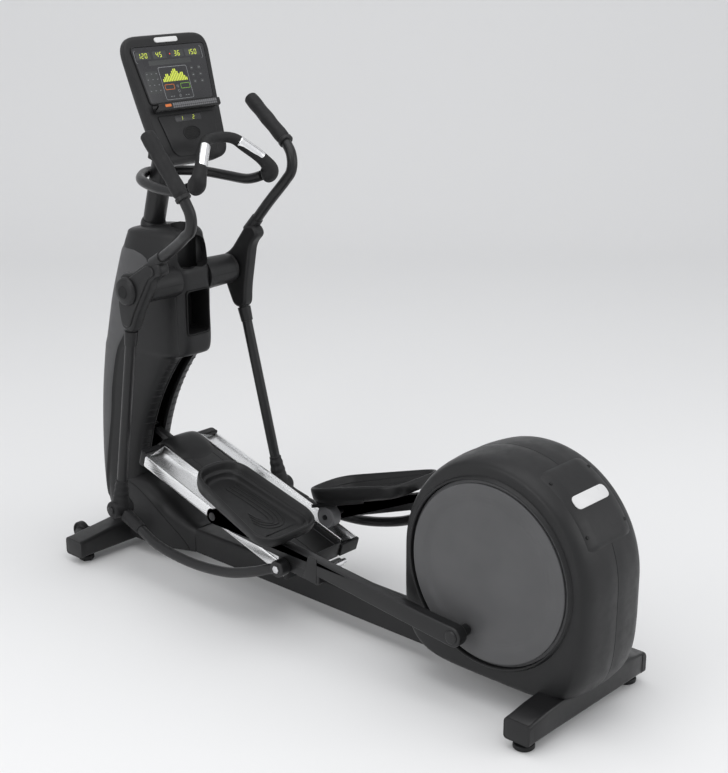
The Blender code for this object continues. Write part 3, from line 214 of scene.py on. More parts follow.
def turned(profile, centre, side=1, sides=64, axis="y"):
    """Grid of a profile of (radius, height) pairs turned about an axis through a centre.

    Each point is the centre plus radius times the cosine and sine of its turn, and the height times the side.
    """
    radius, height = np.asarray(profile, float).T
    turn = np.linspace(0, 2 * np.pi, sides, endpoint=False)
    first = radius[:, None] * np.cos(turn)
    second = radius[:, None] * np.sin(turn)
    up = np.broadcast_to((side * height)[:, None], first.shape)
    order = {"y": (first, up, second), "z": (first, second, up), "x": (up, first, second)}[axis]
    return np.stack(order, axis=-1) + np.asarray(centre, float)


def eased(profile, rounding, steps=3):
    """A profile of straight lines with each inner corner cut back and rounded by a quadratic curve."""
    points = np.asarray(profile, float)
    out = [points[:1]]
    for before, corner, after in zip(points, points[1:], points[2:]):
        back, ahead = before - corner, after - corner
        cut = min(rounding, np.linalg.norm(back) * 0.45, np.linalg.norm(ahead) * 0.45)
        start, end = corner + unit(back) * cut, corner + unit(ahead) * cut
        t = np.linspace(0, 1, steps + 1)[:, None]
        out.append((1 - t) ** 2 * start + 2 * t * (1 - t) * corner + t**2 * end)
    out.append(points[-1:])
    return np.concatenate(out)


def rounded_outline(corners, rounding, steps=6):
    """A closed outline with rounded corners; rounding is one length, or one for each corner."""
    points = np.asarray(corners, float)
    lengths = np.broadcast_to(rounding, len(points))
    out = []
    for i, cut in enumerate(lengths):
        corner = points[i]
        back, ahead = points[i - 1] - corner, points[(i + 1) % len(points)] - corner
        cut = min(cut, np.linalg.norm(back) * 0.48, np.linalg.norm(ahead) * 0.48)
        start, end = corner + unit(back) * cut, corner + unit(ahead) * cut
        t = np.linspace(0, 1, steps + 1)[:, None]
        out.append((1 - t) ** 2 * start + 2 * t * (1 - t) * corner + t**2 * end)
    return np.concatenate(out)


def drawn_in(outline, distance):
    """A closed outline moved inwards by a distance along the mean of its edge normals."""
    ahead = unit(np.roll(outline, -1, axis=0) - outline)
    behind = np.roll(ahead, 1, axis=0)
    tangent = unit(ahead + behind)
    normal = np.stack([-tangent[:, 1], tangent[:, 0]], axis=-1)
    x, y = outline.T
    area = np.sum(x * np.roll(y, -1) - y * np.roll(x, -1))
    return outline + normal * distance * (1 if area > 0 else -1)


def slab(outline, low, high, edge=0.002, axis="y", steps=3):
    """Grid of a flat outline given a thickness along an axis, its two rims rounded by a quarter circle."""
    turn = np.linspace(0, np.pi / 2, steps + 1)
    inset = np.concatenate([edge * (1 - np.sin(turn)), edge * (1 - np.cos(turn))])
    level = np.concatenate([low + edge * (1 - np.cos(turn)), high - edge * (1 - np.sin(turn))])
    flat = np.stack([drawn_in(outline, d) for d in inset])
    up = np.broadcast_to(level[:, None], flat.shape[:2])
    u, v = flat[..., 0], flat[..., 1]
    return np.stack({"y": (u, up, v), "x": (up, u, v), "z": (u, v, up)}[axis], axis=-1)


def swung(points, place, angle):
    """Points turned about Y, from +Z towards +X, then moved to a place."""
    c, s = math.cos(angle), math.sin(angle)
    x, y, z = np.moveaxis(np.asarray(points, float), -1, 0)
    return np.stack([x * c + z * s, y, -x * s + z * c], axis=-1) + np.asarray(place, float)


def cut_away(piece, tool):
    """Cut a solid out of a piece for good."""
    step = piece.modifiers.new("cut", "BOOLEAN")
    step.operation = "DIFFERENCE"
    step.object = tool
    step.solver = "EXACT"
    bpy.context.view_layer.update()
    evaluated = piece.evaluated_get(bpy.context.evaluated_depsgraph_get())
    mesh = bpy.data.meshes.new_from_object(evaluated)
    piece.modifiers.clear()
    piece.data = mesh
    mesh.shade_smooth()
    mesh.set_sharp_from_angle(angle=math.radians(38))
    bpy.data.objects.remove(tool)
    return piece


def done(piece, kind, body, *nodes, slot=None):
    """Give a piece its finish, its body and the frame nodes it stands for."""
    piece.data.materials.clear()
    piece.data.materials.append(FINISHES[kind]())
    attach(piece, body)
    if nodes:
        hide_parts(*nodes)
    return piece


# Finishes


class Nodes:
    """A short hand for laying out shader nodes in one material."""

    def __init__(self, name):
        self.made = bpy.data.materials.new(name)
        self.made.use_nodes = True
        self.tree = self.made.node_tree
        self.shader = self.tree.nodes["Principled BSDF"]
        self.coords = self.add("ShaderNodeTexCoord")

    def add(self, kind, **values):
        """A node with its sockets set or linked, by socket name."""
        node = self.tree.nodes.new(kind)
        for key, value in values.items():
            if hasattr(node, key):
                setattr(node, key, value)
            else:
                self.put(node, key.replace("_", " "), value)
        return node

    def put(self, node, socket, value):
        """Set or link one input socket."""
        if isinstance(value, bpy.types.NodeSocket):
            self.tree.links.new(value, node.inputs[socket])
        else:
            node.inputs[socket].default_value = value

    def noise(self, scale, detail=3.0, coords=None):
        """Noise on the object's own coordinates."""
        source = coords or self.coords.outputs["Object"]
        node = self.add("ShaderNodeTexNoise", Vector=source, Scale=scale, Detail=detail)
        return node.outputs["Fac"]

    def ranged(self, value, low, high, start=0.3, end=0.7):
        """A value spread from one range to another."""
        node = self.add("ShaderNodeMapRange")
        for socket, number in zip(node.inputs[:5], (value, start, end, low, high)):
            if isinstance(number, bpy.types.NodeSocket):
                self.tree.links.new(number, socket)
            else:
                socket.default_value = number
        return node.outputs[0]

    def mixed(self, share, first, second):
        """A colour between two, by share."""
        node = self.add("ShaderNodeMix", data_type="RGBA")
        for index, value in ((0, share), (6, first), (7, second)):
            if isinstance(value, bpy.types.NodeSocket):
                self.tree.links.new(value, node.inputs[index])
            else:
                node.inputs[index].default_value = value if index == 0 else (*value, 1)
        return node.outputs[2]

    def bumped(self, height, strength, distance, under=None):
        """A bump from a height, on top of another if given."""
        node = self.add("ShaderNodeBump", Height=height, Strength=strength, Distance=distance)
        if under is not None:
            self.put(node, "Normal", under)
        return node.outputs["Normal"]

    def plane_distance(self, axis, at):
        """How far a point is from a level of one object coordinate."""
        split = self.add("ShaderNodeSeparateXYZ", Vector=self.coords.outputs["Object"])
        less = self.add("ShaderNodeMath", operation="SUBTRACT")
        self.tree.links.new(split.outputs[axis], less.inputs[0])
        less.inputs[1].default_value = at
        size = self.add("ShaderNodeMath", operation="ABSOLUTE")
        self.tree.links.new(less.outputs[0], size.inputs[0])
        return size.outputs[0]


def kept(make):
    """Make a finish once and hand the same one back afterwards."""
    made = {}

    def give():
        if "it" not in made:
            made["it"] = make()
        return made["it"]

    return give


def moulded(name, colour, roughness, grain=0.10, grain_size=1500.0, seam=None):
    """Moulded plastic: fine spark-eroded grain, a slow change of gloss, and an optional dark line at a seam's
    height, painted shade of the groove where covers meet.
    """
    n = Nodes(name)
    slow = n.noise(9.0, 2.0)
    fine = n.noise(grain_size, 2.0)
    lighter = tuple(min(1.0, c * 1.14) for c in colour)
    shade = n.mixed(n.ranged(slow, 0.0, 1.0), tuple(colour), lighter)
    # Painted shade: a thin dark line at the seam's height stands in for the shade inside the groove between
    # the covers.
    if seam is not None:
        near = n.ranged(n.plane_distance("Z", seam), 0.12, 1.0, 0.0005, 0.0013)
        shade = n.mixed(near, tuple(c * 0.15 for c in colour), shade)
    n.put(n.shader, "Base Color", shade)
    n.put(n.shader, "Roughness", n.ranged(n.noise(38.0, 4.0), roughness - 0.05, roughness + 0.07))
    n.shader.inputs["Specular IOR Level"].default_value = 0.30
    n.put(n.shader, "Normal", n.bumped(fine, grain, 0.0004))
    return n.made


def painted(name, colour, roughness):
    """Powder coat on steel: a faint orange-peel under a soft gloss."""
    n = Nodes(name)
    peel = n.noise(420.0, 3.0)
    n.put(n.shader, "Base Color", n.mixed(n.noise(6.0), tuple(colour), tuple(c * 1.2 for c in colour)))
    n.put(n.shader, "Roughness", n.ranged(n.noise(55.0, 3.0), roughness - 0.05, roughness + 0.06))
    n.put(n.shader, "Normal", n.bumped(peel, 0.12, 0.0005))
    n.shader.inputs["Specular IOR Level"].default_value = 0.35
    n.shader.inputs["Coat Weight"].default_value = 0.08
    n.shader.inputs["Coat Roughness"].default_value = 0.3
    return n.made


def rubbery(name, colour, roughness=0.62):
    """Rubber or foam: matt, with a fine pebbled skin."""
    n = Nodes(name)
    pebble = n.add(
        "ShaderNodeTexVoronoi", Vector=n.coords.outputs["Object"], Scale=700.0
    ).outputs["Distance"]
    n.put(n.shader, "Base Color", n.mixed(n.noise(20.0), tuple(colour), tuple(c * 1.3 for c in colour)))
    n.put(n.shader, "Roughness", n.ranged(n.noise(70.0, 4.0), roughness - 0.08, roughness + 0.1))
    n.put(n.shader, "Normal", n.bumped(pebble, 0.18, 0.0003))
    n.shader.inputs["Specular IOR Level"].default_value = 0.25
    return n.made


def brushed(name, colour, roughness, along="X", streak=0.25):
    """Metal with fine lines drawn along one axis."""
    n = Nodes(name)
    stretch = {"X": (4, 900, 900), "Y": (900, 4, 900), "Z": (900, 900, 4)}[along]
    mapping = n.add("ShaderNodeMapping", Vector=n.coords.outputs["Object"])
    mapping.inputs["Scale"].default_value = stretch
    mapping.inputs["Rotation"].default_value = (0, RAMP_ANGLE if along == "X" else 0, 0)
    lines = n.noise(1.0, 2.0, mapping.outputs["Vector"])
    n.put(n.shader, "Base Color", n.mixed(n.noise(14.0), tuple(colour), tuple(c * 0.93 for c in colour)))
    n.shader.inputs["Metallic"].default_value = 1.0
    n.put(n.shader, "Roughness", n.ranged(lines, roughness - 0.04, roughness + 0.08))
    n.put(n.shader, "Normal", n.bumped(lines, streak, 0.00015))
    return n.made


def glowing(name, colour, strength):
    """A lit display segment behind clear plastic."""
    n = Nodes(name)
    n.put(n.shader, "Base Color", n.mixed(n.noise(900.0), tuple(colour), tuple(c * 0.85 for c in colour)))
    n.shader.inputs["Emission Color"].default_value = (*colour, 1)
    n.shader.inputs["Emission Strength"].default_value = strength
    n.shader.inputs["Roughness"].default_value = 0.4
    return n.made


def printed(name, colour):
    """Ink printed on a panel."""
    n = Nodes(name)
    n.put(n.shader, "Base Color", n.mixed(n.noise(600.0), tuple(colour), tuple(c * 0.9 for c in colour)))
    n.shader.inputs["Roughness"].default_value = 0.45
    return n.made


def glassy(name, colour):
    """The display's dark front: smooth, with faint smears."""
    n = Nodes(name)
    n.put(n.shader, "Base Color", n.mixed(n.noise(5.0), tuple(colour), tuple(c * 1.25 for c in colour)))
    n.put(n.shader, "Roughness", n.ranged(n.noise(30.0, 6.0), 0.22, 0.34))
    n.put(n.shader, "Normal", n.bumped(n.noise(240.0), 0.02, 0.0002))
    return n.made


FINISHES = {}

# Tower

TOWER_KNOTS = (
    # height, front, rear, half width
    (0.105, -1.012, -0.852, 0.100),
    (0.300, -1.0232, -0.842, 0.104),
    (0.520, -1.017, -0.775, 0.105),
    (0.700, -0.996, -0.664, 0.106),
    (0.740, -0.987, -0.600, 0.106),
    (0.872, -0.951, -0.5965, 0.106),
    (0.975, -0.914, -0.5965, 0.105),
    (1.060, -0.882, -0.600, 0.101),
    (1.112, -0.862, -0.610, 0.092),
)
TOWER_TABLE = smooth(TOWER_KNOTS, 300)
NOSE_EDGE = smooth(
    [(0.12, -1.005), (0.218, -0.992), (0.449, -0.945), (0.555, -0.930), (0.645, -0.910), (0.718, -0.885),
     (0.782, -0.842), (0.880, -0.784), (0.960, -0.745), (1.009, -0.730), (1.045, -0.733), (1.066, -0.800)],
    120,
)
BAND_EDGE = smooth(
    [(0.10, -0.935), (0.300, -0.905), (0.464, -0.885), (0.568, -0.874), (0.691, -0.855), (0.762, -0.838),
     (0.800, -0.826)],
    60,
)


def tower(z, turn, grow=0.0):
    """Points on the tower at heights and turns from its back, by broadcasting.

    x is the middle plus the reach times the cosine to a power, squarer at the back than at the nose.
    y is the half width, less 0.3 of the squared share towards the back, times the sine to that power.
    Below the chin the back follows an arc about the ramp's hinge.
    """
    z, turn, grow = np.broadcast_arrays(z, turn, grow)
    front, rear, half = (np.interp(z, TOWER_TABLE[:, 0], TOWER_TABLE[:, k]) for k in (1, 2, 3))
    arc = RAMP[0] - np.sqrt(0.853**2 - (z - RAMP[2]) ** 2)
    rear = np.where(z < 0.700, arc, rear)
    c, s = np.cos(turn), np.sin(turn)
    power = np.where(c > 0, 0.42, 0.6)
    across = np.sign(c) * np.abs(c) ** power
    out = np.sign(s) * np.abs(s) ** power
    x = (front + rear) / 2 + ((rear - front) / 2 + grow) * across
    y = (half * (1 - 0.30 * ((1 + across) / 2) ** 2) + grow) * out
    return np.stack([x, y, z], axis=-1)


def tower_turn(z, x):
    """The turn at which each height's plan passes a place along the machine, on the +Y side."""
    fine = np.linspace(0, np.pi, 500)
    return np.array([np.interp(-at, -tower(h, fine)[:, 0], fine) for h, at in zip(z, x)])


def tower_turn_across(z, y):
    """The turn near the back at which each height's plan reaches a distance from the middle."""
    fine = np.linspace(0, np.pi / 2.2, 400)
    return np.array([np.interp(at, tower(h, fine)[:, 1], fine) for h, at in zip(z, y)])


def even_turns(z, count):
    """Turns spaced evenly along the tower's outline at a height, once round."""
    fine = np.linspace(0, 2 * np.pi, 2401)
    ring = tower(z, fine)
    run = np.concatenate([[0], np.cumsum(np.linalg.norm(np.diff(ring, axis=0), axis=1))])
    return np.interp(np.linspace(0, run[-1], count, endpoint=False), run, fine)


def hollow(name, outer, inner, capped=False, crease=38.0):
    """A wall between two grids of rings: joined along the first row, and along the last or capped there."""
    rows, columns = outer.shape[:2]
    count = rows * columns
    out = np.arange(count).reshape(rows, columns)
    within = out + count
    faces = skin_faces(rows, columns, False) + skin_faces(rows, columns, False, count)

    def rim(row):
        a, b = out[row], within[row]
        return np.stack([a, np.roll(a, -1), np.roll(b, -1), b], axis=-1).tolist()

    faces += rim(0)
    faces += [out[-1].tolist(), within[-1].tolist()] if capped else rim(-1)
    points = np.concatenate([outer.reshape(-1, 3), inner.reshape(-1, 3)])
    return new_piece(name, points, faces, crease)


def panel(name, front, back, crease=38.0):
    """A closed sheet between two open grids, joined round their border."""
    rows, columns = front.shape[:2]
    count = rows * columns
    index = np.arange(count).reshape(rows, columns)
    quads = np.stack([index[:-1, :-1], index[:-1, 1:], index[1:, 1:], index[1:, :-1]], -1).reshape(-1, 4)
    border = np.concatenate([index[0], index[1:, -1], index[-1, -2::-1], index[-2:0:-1, 0]])
    ahead = np.roll(border, -1)
    rim = np.stack([border, ahead, ahead + count, border + count], axis=-1)
    faces = np.concatenate([quads, quads + count, rim]).tolist()
    return new_piece(name, np.concatenate([front.reshape(-1, 3), back.reshape(-1, 3)]), faces, crease)


def edge_round(rows, columns, steps=2):
    """Share of full thickness over a grid, falling to nothing at its border as a quarter circle."""
    down = np.minimum(np.arange(rows), np.arange(rows)[::-1])[:, None] / steps
    along = np.minimum(np.arange(columns), np.arange(columns)[::-1])[None] / steps
    near = np.clip(np.minimum(down, along), 0, 1)
    return np.sqrt(1 - (1 - near) ** 2)


def block(low, high, edge=0.002, axis="x"):
    """Grid of a rounded block between two corners."""
    low, high = np.asarray(low, float), np.asarray(high, float)
    first, second, up = {"x": (1, 2, 0), "y": (0, 2, 1), "z": (0, 1, 2)}[axis]
    corners = [
        (low[first], low[second]), (high[first], low[second]),
        (high[first], high[second]), (low[first], high[second]),
    ]
    return slab(rounded_outline(corners, edge * 1.6, 4), low[up], high[up], edge, axis)


def make_tower_lower():
    """Side shells: hollow, with a recessed band behind the nose panel, a bin mouth and the ramp's slot."""
    z = np.concatenate([np.linspace(0.105, 0.700, 60), np.linspace(0.7005, SEAM - 0.0004, 34)])
    turn = even_turns(0.6, 200)[None]
    at = tower(z[:, None], turn)
    nose = np.interp(z, NOSE_EDGE[:, 0], NOSE_EDGE[:, 1])[:, None]
    band = np.interp(z, BAND_EDGE[:, 0], BAND_EDGE[:, 1])[:, None]
    inside = np.clip((at[..., 0] - nose) / 0.006, 0, 1) * np.clip((band - at[..., 0]) / 0.006, 0, 1)
    dip = -0.005 * inside * (z[:, None] < 0.80)
    cover = hollow("tower_side_shells", tower(z[:, None], turn, dip), tower(z[:, None], turn, -0.009))
    slot = skin("slot_cutter", block((-0.90, -0.024, 0.26), (-0.60, 0.024, 0.715), 0.004))
    cut_away(cover, slot)
    mouth = rounded_outline([(-0.0462, 0.7998), (0.0462, 0.7998), (0.0462, 0.9442), (-0.0462, 0.9442)],
                            0.012)
    cut_away(cover, skin("bin_cutter", slab(mouth, -0.64, -0.55, 0.0, "x")))
    return done(cover, "charcoal", "frame", "tower_lower_cover", slot="black_plastic")


def make_tower_upper():
    """Crowned top with the cup's room; each crown ring is the shoulder's ring shrunk as its height rises."""
    turn = even_turns(1.06, 160)
    z = np.linspace(SEAM + 0.0004, 1.108, 26)
    walls = tower(z[:, None], turn[None])
    rise = np.linspace(0, np.pi / 2, 12)[1:-1, None, None]
    middle = np.array([-0.722, 0.0, 0.0])
    shoulder = walls[-1] - [0, 0, 1.108]
    crown = (shoulder - middle) * np.cos(rise) ** 0.55 + middle
    lean = 0.010 * (shoulder[None, :, :1] - middle[0]) / 0.11
    crown[..., 2] = 1.108 + (0.034 + lean[..., 0]) * np.sin(rise[..., 0]) ** 0.9
    cover = skin("tower_top", np.concatenate([walls, crown]))
    cup = turned([(0.0, 0.992), (0.036, 0.992), (0.041, 0.998), (0.041, 1.25), (0.0, 1.25)],
                 (-0.652, 0, 0), 1, 48, "z")
    cut_away(cover, skin("cup_cutter", cup, caps=False))
    mouth = np.concatenate([
        smooth([(-0.050, 1.019), (-0.024, 1.015), (0.0, 1.019), (0.024, 1.015), (0.050, 1.019)], 16),
        smooth([(0.058, 1.028), (0.064, 1.062), (0.050, 1.100), (0.0, 1.122), (-0.050, 1.100),
                (-0.064, 1.062), (-0.058, 1.028)], 40),
    ])
    cut_away(cover, skin("mouth_cutter", slab(mouth, -0.640, -0.55, 0.0, "x")))
    return done(cover, "charcoal", "frame", "tower_upper_cover", slot="black_plastic")


def make_nose_panel():
    """Lighter skin round the nose: turns run between the edge curve on one side and on the other."""
    z = np.linspace(0.150, 1.062, 90)
    edge = tower_turn(z, np.interp(z, NOSE_EDGE[:, 0], NOSE_EDGE[:, 1]))
    share = np.linspace(0, 1, 90)
    turn = edge[:, None] + (2 * np.pi - 2 * edge[:, None]) * share[None]
    thick = edge_round(90, 90)
    nose = panel("nose_panel", tower(z[:, None], turn, 0.0006 + 0.0026 * thick),
                 tower(z[:, None], turn, 0.0006))
    return done(nose, "nose_grey", "frame", "tower_front_panel", slot="grey_plastic")


def make_back_strip():
    """Separate strip down the tower's back, with the bin's mouth cut out of it."""
    z = np.linspace(0.722, 1.012, 48)
    half = np.interp(z, [0.722, 0.76, 0.95, 1.012], [0.062, 0.068, 0.070, 0.066])
    edge = tower_turn_across(z, half)
    turn = edge[:, None] * np.linspace(-1, 1, 50)[None]
    thick = edge_round(48, 50)
    strip = panel("tower_back_strip", tower(z[:, None], turn, 0.0004 + 0.0022 * thick),
                  tower(z[:, None], turn, 0.0004))
    mouth = rounded_outline([(-0.050, 0.796), (0.050, 0.796), (0.050, 0.948), (-0.050, 0.948)], 0.014)
    cut_away(strip, skin("strip_cutter", slab(mouth, -0.64, -0.55, 0.0, "x")))
    return done(strip, "charcoal", "frame", slot="black_plastic")


def make_bin():
    """Open tray with a rounded lip."""
    outline = np.array([(-0.0458, 0.8002), (0.0458, 0.8002), (0.0458, 0.9438), (-0.0458, 0.9438)])
    rings = []
    for inset, x in ((0, -0.680), (0, -0.598), (-0.0035, -0.5955), (-0.0035, -0.5925), (0.0005, -0.5915),
                     (0.003, -0.5935), (0.003, -0.677)):
        ring = rounded_outline(drawn_in(outline, inset), 0.012)
        rings.append(np.column_stack([np.full(len(ring), x), ring]))
    tray = skin("storage_bin_tray", np.stack(rings))
    done(tray, "inner_black", "frame", "storage_bin", slot="black_plastic")


def make_slot_ribs():
    """Ribs on each side of the ramp's slot, on the tower's hollow back."""
    grids = []
    for side, _word in SIDES:
        for z in np.linspace(0.30, 0.69, 16):
            y = np.linspace(0.029, 0.062, 8) * side
            turn = tower_turn_across(np.full(8, z), np.abs(y)) * side
            line = tower(np.full(8, z), turn, 0.0002)
            grids.append(carried(line, circle((0.0016, 0.0024), 8), ALONG_Z, rounded_ends(line, 0.002)))
    ribs = skins("slot_ribs", grids)
    done(ribs, "charcoal", "frame", slot="black_plastic")
    edges = []
    for side, _word in SIDES:
        z = np.linspace(0.262, 0.712, 60)
        turn = tower_turn_across(z, np.full(60, 0.0265)) * side
        line = tower(z, turn, 0.0006)
        edges.append(carried(line, circle((0.0016, 0.0028), 10), ALONG_Y, rounded_ends(line, 0.004)))
    done(skins("slot_lips", edges), "charcoal", "frame", slot="black_plastic")


def make_horns():
    """Side horns with bellows rings where the handlebars' shaft comes out."""
    for side, word in SIDES:
        profile = [(0.0, 0.060), (0.0530, 0.060), (0.0505, 0.100), (0.0490, 0.150), (0.0490, 0.178),
                   (0.0455, 0.1805), (0.0470, 0.1835), (0.0470, 0.1865), (0.0420, 0.1885),
                   (0.0420, 0.1915), (0.0400, 0.1935), (0.0300, 0.1945), (0.0, 0.1945)]
        horn = skin(f"side_horn_{word}", turned(eased(profile, 0.0012), (PIVOT[0], 0, PIVOT[2]), side, 72),
                    caps=False)
        # The horns' finish carries a dark line painted at the covers' seam height, as the shade in the seam's
        # groove.
        done(horn, "charcoal_seamed", "frame", slot="black_plastic")


def make_mast():
    """Leaning mast with a collar where it leaves the tower, and a bent neck from its head to the console."""
    path = np.linspace(MAST_FOOT - (MAST_HEAD - MAST_FOOT) * 0.42, MAST_HEAD, 30)
    mast = rod("console_mast", path, 0.036, ALONG_Y, sides=56)
    done(mast, "gloss_black", "frame", "mast", slot="black_paint")
    along = unit(MAST_HEAD - MAST_FOOT)
    collar = MAST_FOOT + along * np.linspace(0.012, 0.046, 14)[:, None]
    swell = 1 + 0.16 * np.sin(np.linspace(0.15, np.pi - 0.15, 14)) ** 0.6
    done(rod("mast_collar", collar, 0.0362, ALONG_Y, sides=56, scale=swell), "charcoal", "frame",
         slot="black_plastic")
    bend = smooth([(-0.7365, 1.345), (-0.725, 1.385), (-0.700, 1.412), (-0.670, 1.420), (-0.643, 1.4235)],
                  24)
    section = rounded_outline([(-0.037, -0.040), (0.037, -0.040), (0.037, 0.040), (-0.037, 0.040)], 0.014)
    bend = np.column_stack([bend[:, 0], np.zeros(len(bend)), bend[:, 1]])
    done(skin("console_neck", carried(bend, section, ALONG_Y)), "charcoal", "frame", slot="black_plastic")


def make_base_covers():
    """Flared base cover and the long cover over the beam.

    Each ring is an upright superellipse cut off at the bottom: y is the half width times the sine to a power,
    and z rises from the bottom to the top by the cosine to a power. Both sizes follow smooth curves along x.
    """
    knots = smooth(
        [(-0.5900, 0.0515, 0.134), (-0.612, 0.058, 0.142), (-0.640, 0.070, 0.160), (-0.680, 0.086, 0.190),
         (-0.730, 0.097, 0.222), (-0.790, 0.103, 0.250), (-0.845, 0.1045, 0.264), (-0.905, 0.1035, 0.268)],
        44,
    )
    turn = np.linspace(-np.pi / 2, np.pi / 2, 41)
    across = np.sign(np.sin(turn)) * np.abs(np.sin(turn)) ** 0.55
    up = np.abs(np.cos(turn)) ** 0.38
    rings = []
    for wall in (0.0, 0.0035):
        x = np.broadcast_to(knots[:, :1], (44, 41))
        y = (knots[:, 1:2] - wall) * across
        z = COVER_FLOOR + (knots[:, 2:3] - wall - COVER_FLOOR) * up
        rings.append(np.stack([x, y, z], axis=-1))
    cover = panel("flared_base_cover", *rings)
    done(cover, "charcoal", "frame", "base_cover", slot="black_plastic")
    lip = []
    for side, _word in SIDES:
        edge = smooth([(-0.900, 0.240), (-0.845, 0.232), (-0.780, 0.206), (-0.715, 0.165), (-0.660, 0.118),
                       (-0.622, 0.072), (-0.612, 0.052)], 40)
        half = np.interp(-edge[:, 0], -knots[:, 0], knots[:, 1])
        top = np.interp(-edge[:, 0], -knots[:, 0], knots[:, 2])
        level = np.clip((edge[:, 1] - COVER_FLOOR) / (top - COVER_FLOOR), 0.0, 0.999)
        y = half * np.sin(np.arccos(level ** (1 / 0.38))) ** 0.55
        line = np.column_stack([edge[:, 0], side * (y + 0.0002), edge[:, 1]])
        lip.append(carried(line, circle((0.0012, 0.0012), 8), ALONG_Y))
    done(skins("base_cover_seam", lip), "inner_black", "frame", slot="black_plastic")
    outline = rounded_outline([(-0.050, COVER_FLOOR), (0.050, COVER_FLOOR), (0.050, 0.131), (-0.050, 0.131)],
                              [0.001, 0.001, 0.016, 0.016], 8)
    wall = drawn_in(outline, 0.003)
    wall[:, 1] = np.where(outline[:, 1] < 0.052, outline[:, 1], wall[:, 1])
    x = np.linspace(-0.5895, CRANK[0] - COVER_FRONT + 0.035, 24)

    def ring(plan):
        return np.stack([np.column_stack([np.full(len(plan), a), plan]) for a in x])

    done(hollow("long_beam_cover", ring(outline), ring(wall)), "charcoal", "frame", "beam_cover",
         slot="black_plastic")


# Rear covers and discs


def cover_ring(grow, turn):
    """Side view of the rear covers: an arch above the crank, square shoulders below, grown by a length."""
    c, s = np.cos(turn), np.sin(turn)
    reach_x = np.where(c > 0, REAR_END - CRANK[0], COVER_FRONT) + grow
    reach_z = np.where(s > 0, COVER_TOP, CRANK[2] - 0.063) + grow
    power = np.where(s > 0, 1.0, 0.42)
    x = np.sign(c) * np.abs(c) ** power * reach_x
    z = np.sign(s) * np.abs(s) ** power * reach_z
    return CRANK[0] + x, CRANK[2] + z


def even_cover_turns(count):
    """Turns spaced evenly along the covers' outline."""
    fine = np.linspace(0, 2 * np.pi, 4001)
    x, z = cover_ring(0.0, fine)
    run = np.concatenate([[0], np.cumsum(np.hypot(np.diff(x), np.diff(z)))])
    return np.interp(np.linspace(0, run[-1], count, endpoint=False), run, fine)


def make_rear_covers():
    """Two half shells, each ring blended from the outline at the seam to the round mouth at the disc."""
    turn = even_cover_turns(180)
    shoulder = smooth([(0.0008, -0.0022), (0.030, -0.0012), (0.060, -0.003), (0.100, -0.0075),
                       (0.124, -0.0155),
                       (0.1355, -0.0260), (0.1385, -0.042)], 26)
    mouth = np.stack([CRANK[0] + (DISC_RADIUS + 0.004) * np.cos(turn),
                      CRANK[2] + (DISC_RADIUS + 0.004) * np.sin(turn)], -1)
    for side, word in SIDES:
        rows = []
        for y, grow in shoulder:
            x, z = cover_ring(grow, turn)
            rows.append(np.column_stack([x, np.full(len(turn), side * y), z]))
        for share in (0.35, 0.75):
            x, z = cover_ring(-0.052, turn)
            ring = np.stack([x, z], -1) * (1 - share) + mouth * share
            rows.append(np.column_stack([ring[:, 0], np.full(len(turn), side * 0.139), ring[:, 1]]))
        for radius, y in ((0.0105, 0.1392), (0.0085, 0.1420), (0.0065, 0.1475), (0.0045, 0.1490),
                          (0.0025, 0.1490),
                          (0.0008, 0.1475), (0.0004, 0.1300)):
            r = DISC_RADIUS + radius
            rows.append(np.column_stack([CRANK[0] + r * np.cos(turn), np.full(len(turn), side * y),
                                         CRANK[2] + r * np.sin(turn)]))
        for y, grow in ((0.1300, -0.045), (0.120, -0.032), (0.098, -0.016), (0.060, -0.0085),
                        (0.0008, -0.0070)):
            x, z = cover_ring(grow, turn)
            rows.append(np.column_stack([x, np.full(len(turn), side * y), z]))
        grid = np.stack(rows)
        faces = skin_faces(len(rows), len(turn), False)
        last = (len(rows) - 1) * len(turn)
        a = np.arange(len(turn))
        faces += np.stack([a, np.roll(a, -1), np.roll(a, -1) + last, a + last], -1).tolist()
        cover = new_piece(f"drive_cover_{word}", grid, faces)
        tunnel = skin("tunnel_cutter", block((0.30, -0.0508, 0.02), (0.46, 0.0508, 0.1318), 0.002))
        cut_away(cover, tunnel)
        done(cover, "charcoal", "frame", f"rear_cover_{word}", slot="black_plastic")


def arch_patch(low, high, half, grow, thickness, rows=40, columns=40, rounding=3):
    """A curved plate over the rear arch between two turns in degrees and within a half width."""
    turn = np.radians(np.linspace(low, high, rows))[:, None]
    y = np.linspace(-half, half, columns)[None] + 0 * turn
    drop = -0.0105 * np.clip((np.abs(y) - 0.058) / 0.045, 0, 1.2) ** 1.6
    thick = edge_round(rows, columns, rounding)
    grids = []
    for over in (grow + drop + thickness * thick, grow + drop):
        x = CRANK[0] + (REAR_END - CRANK[0] + over) * np.cos(turn)
        z = CRANK[2] + (COVER_TOP + over) * np.sin(turn)
        grids.append(np.stack([x, y, z], axis=-1))
    return grids


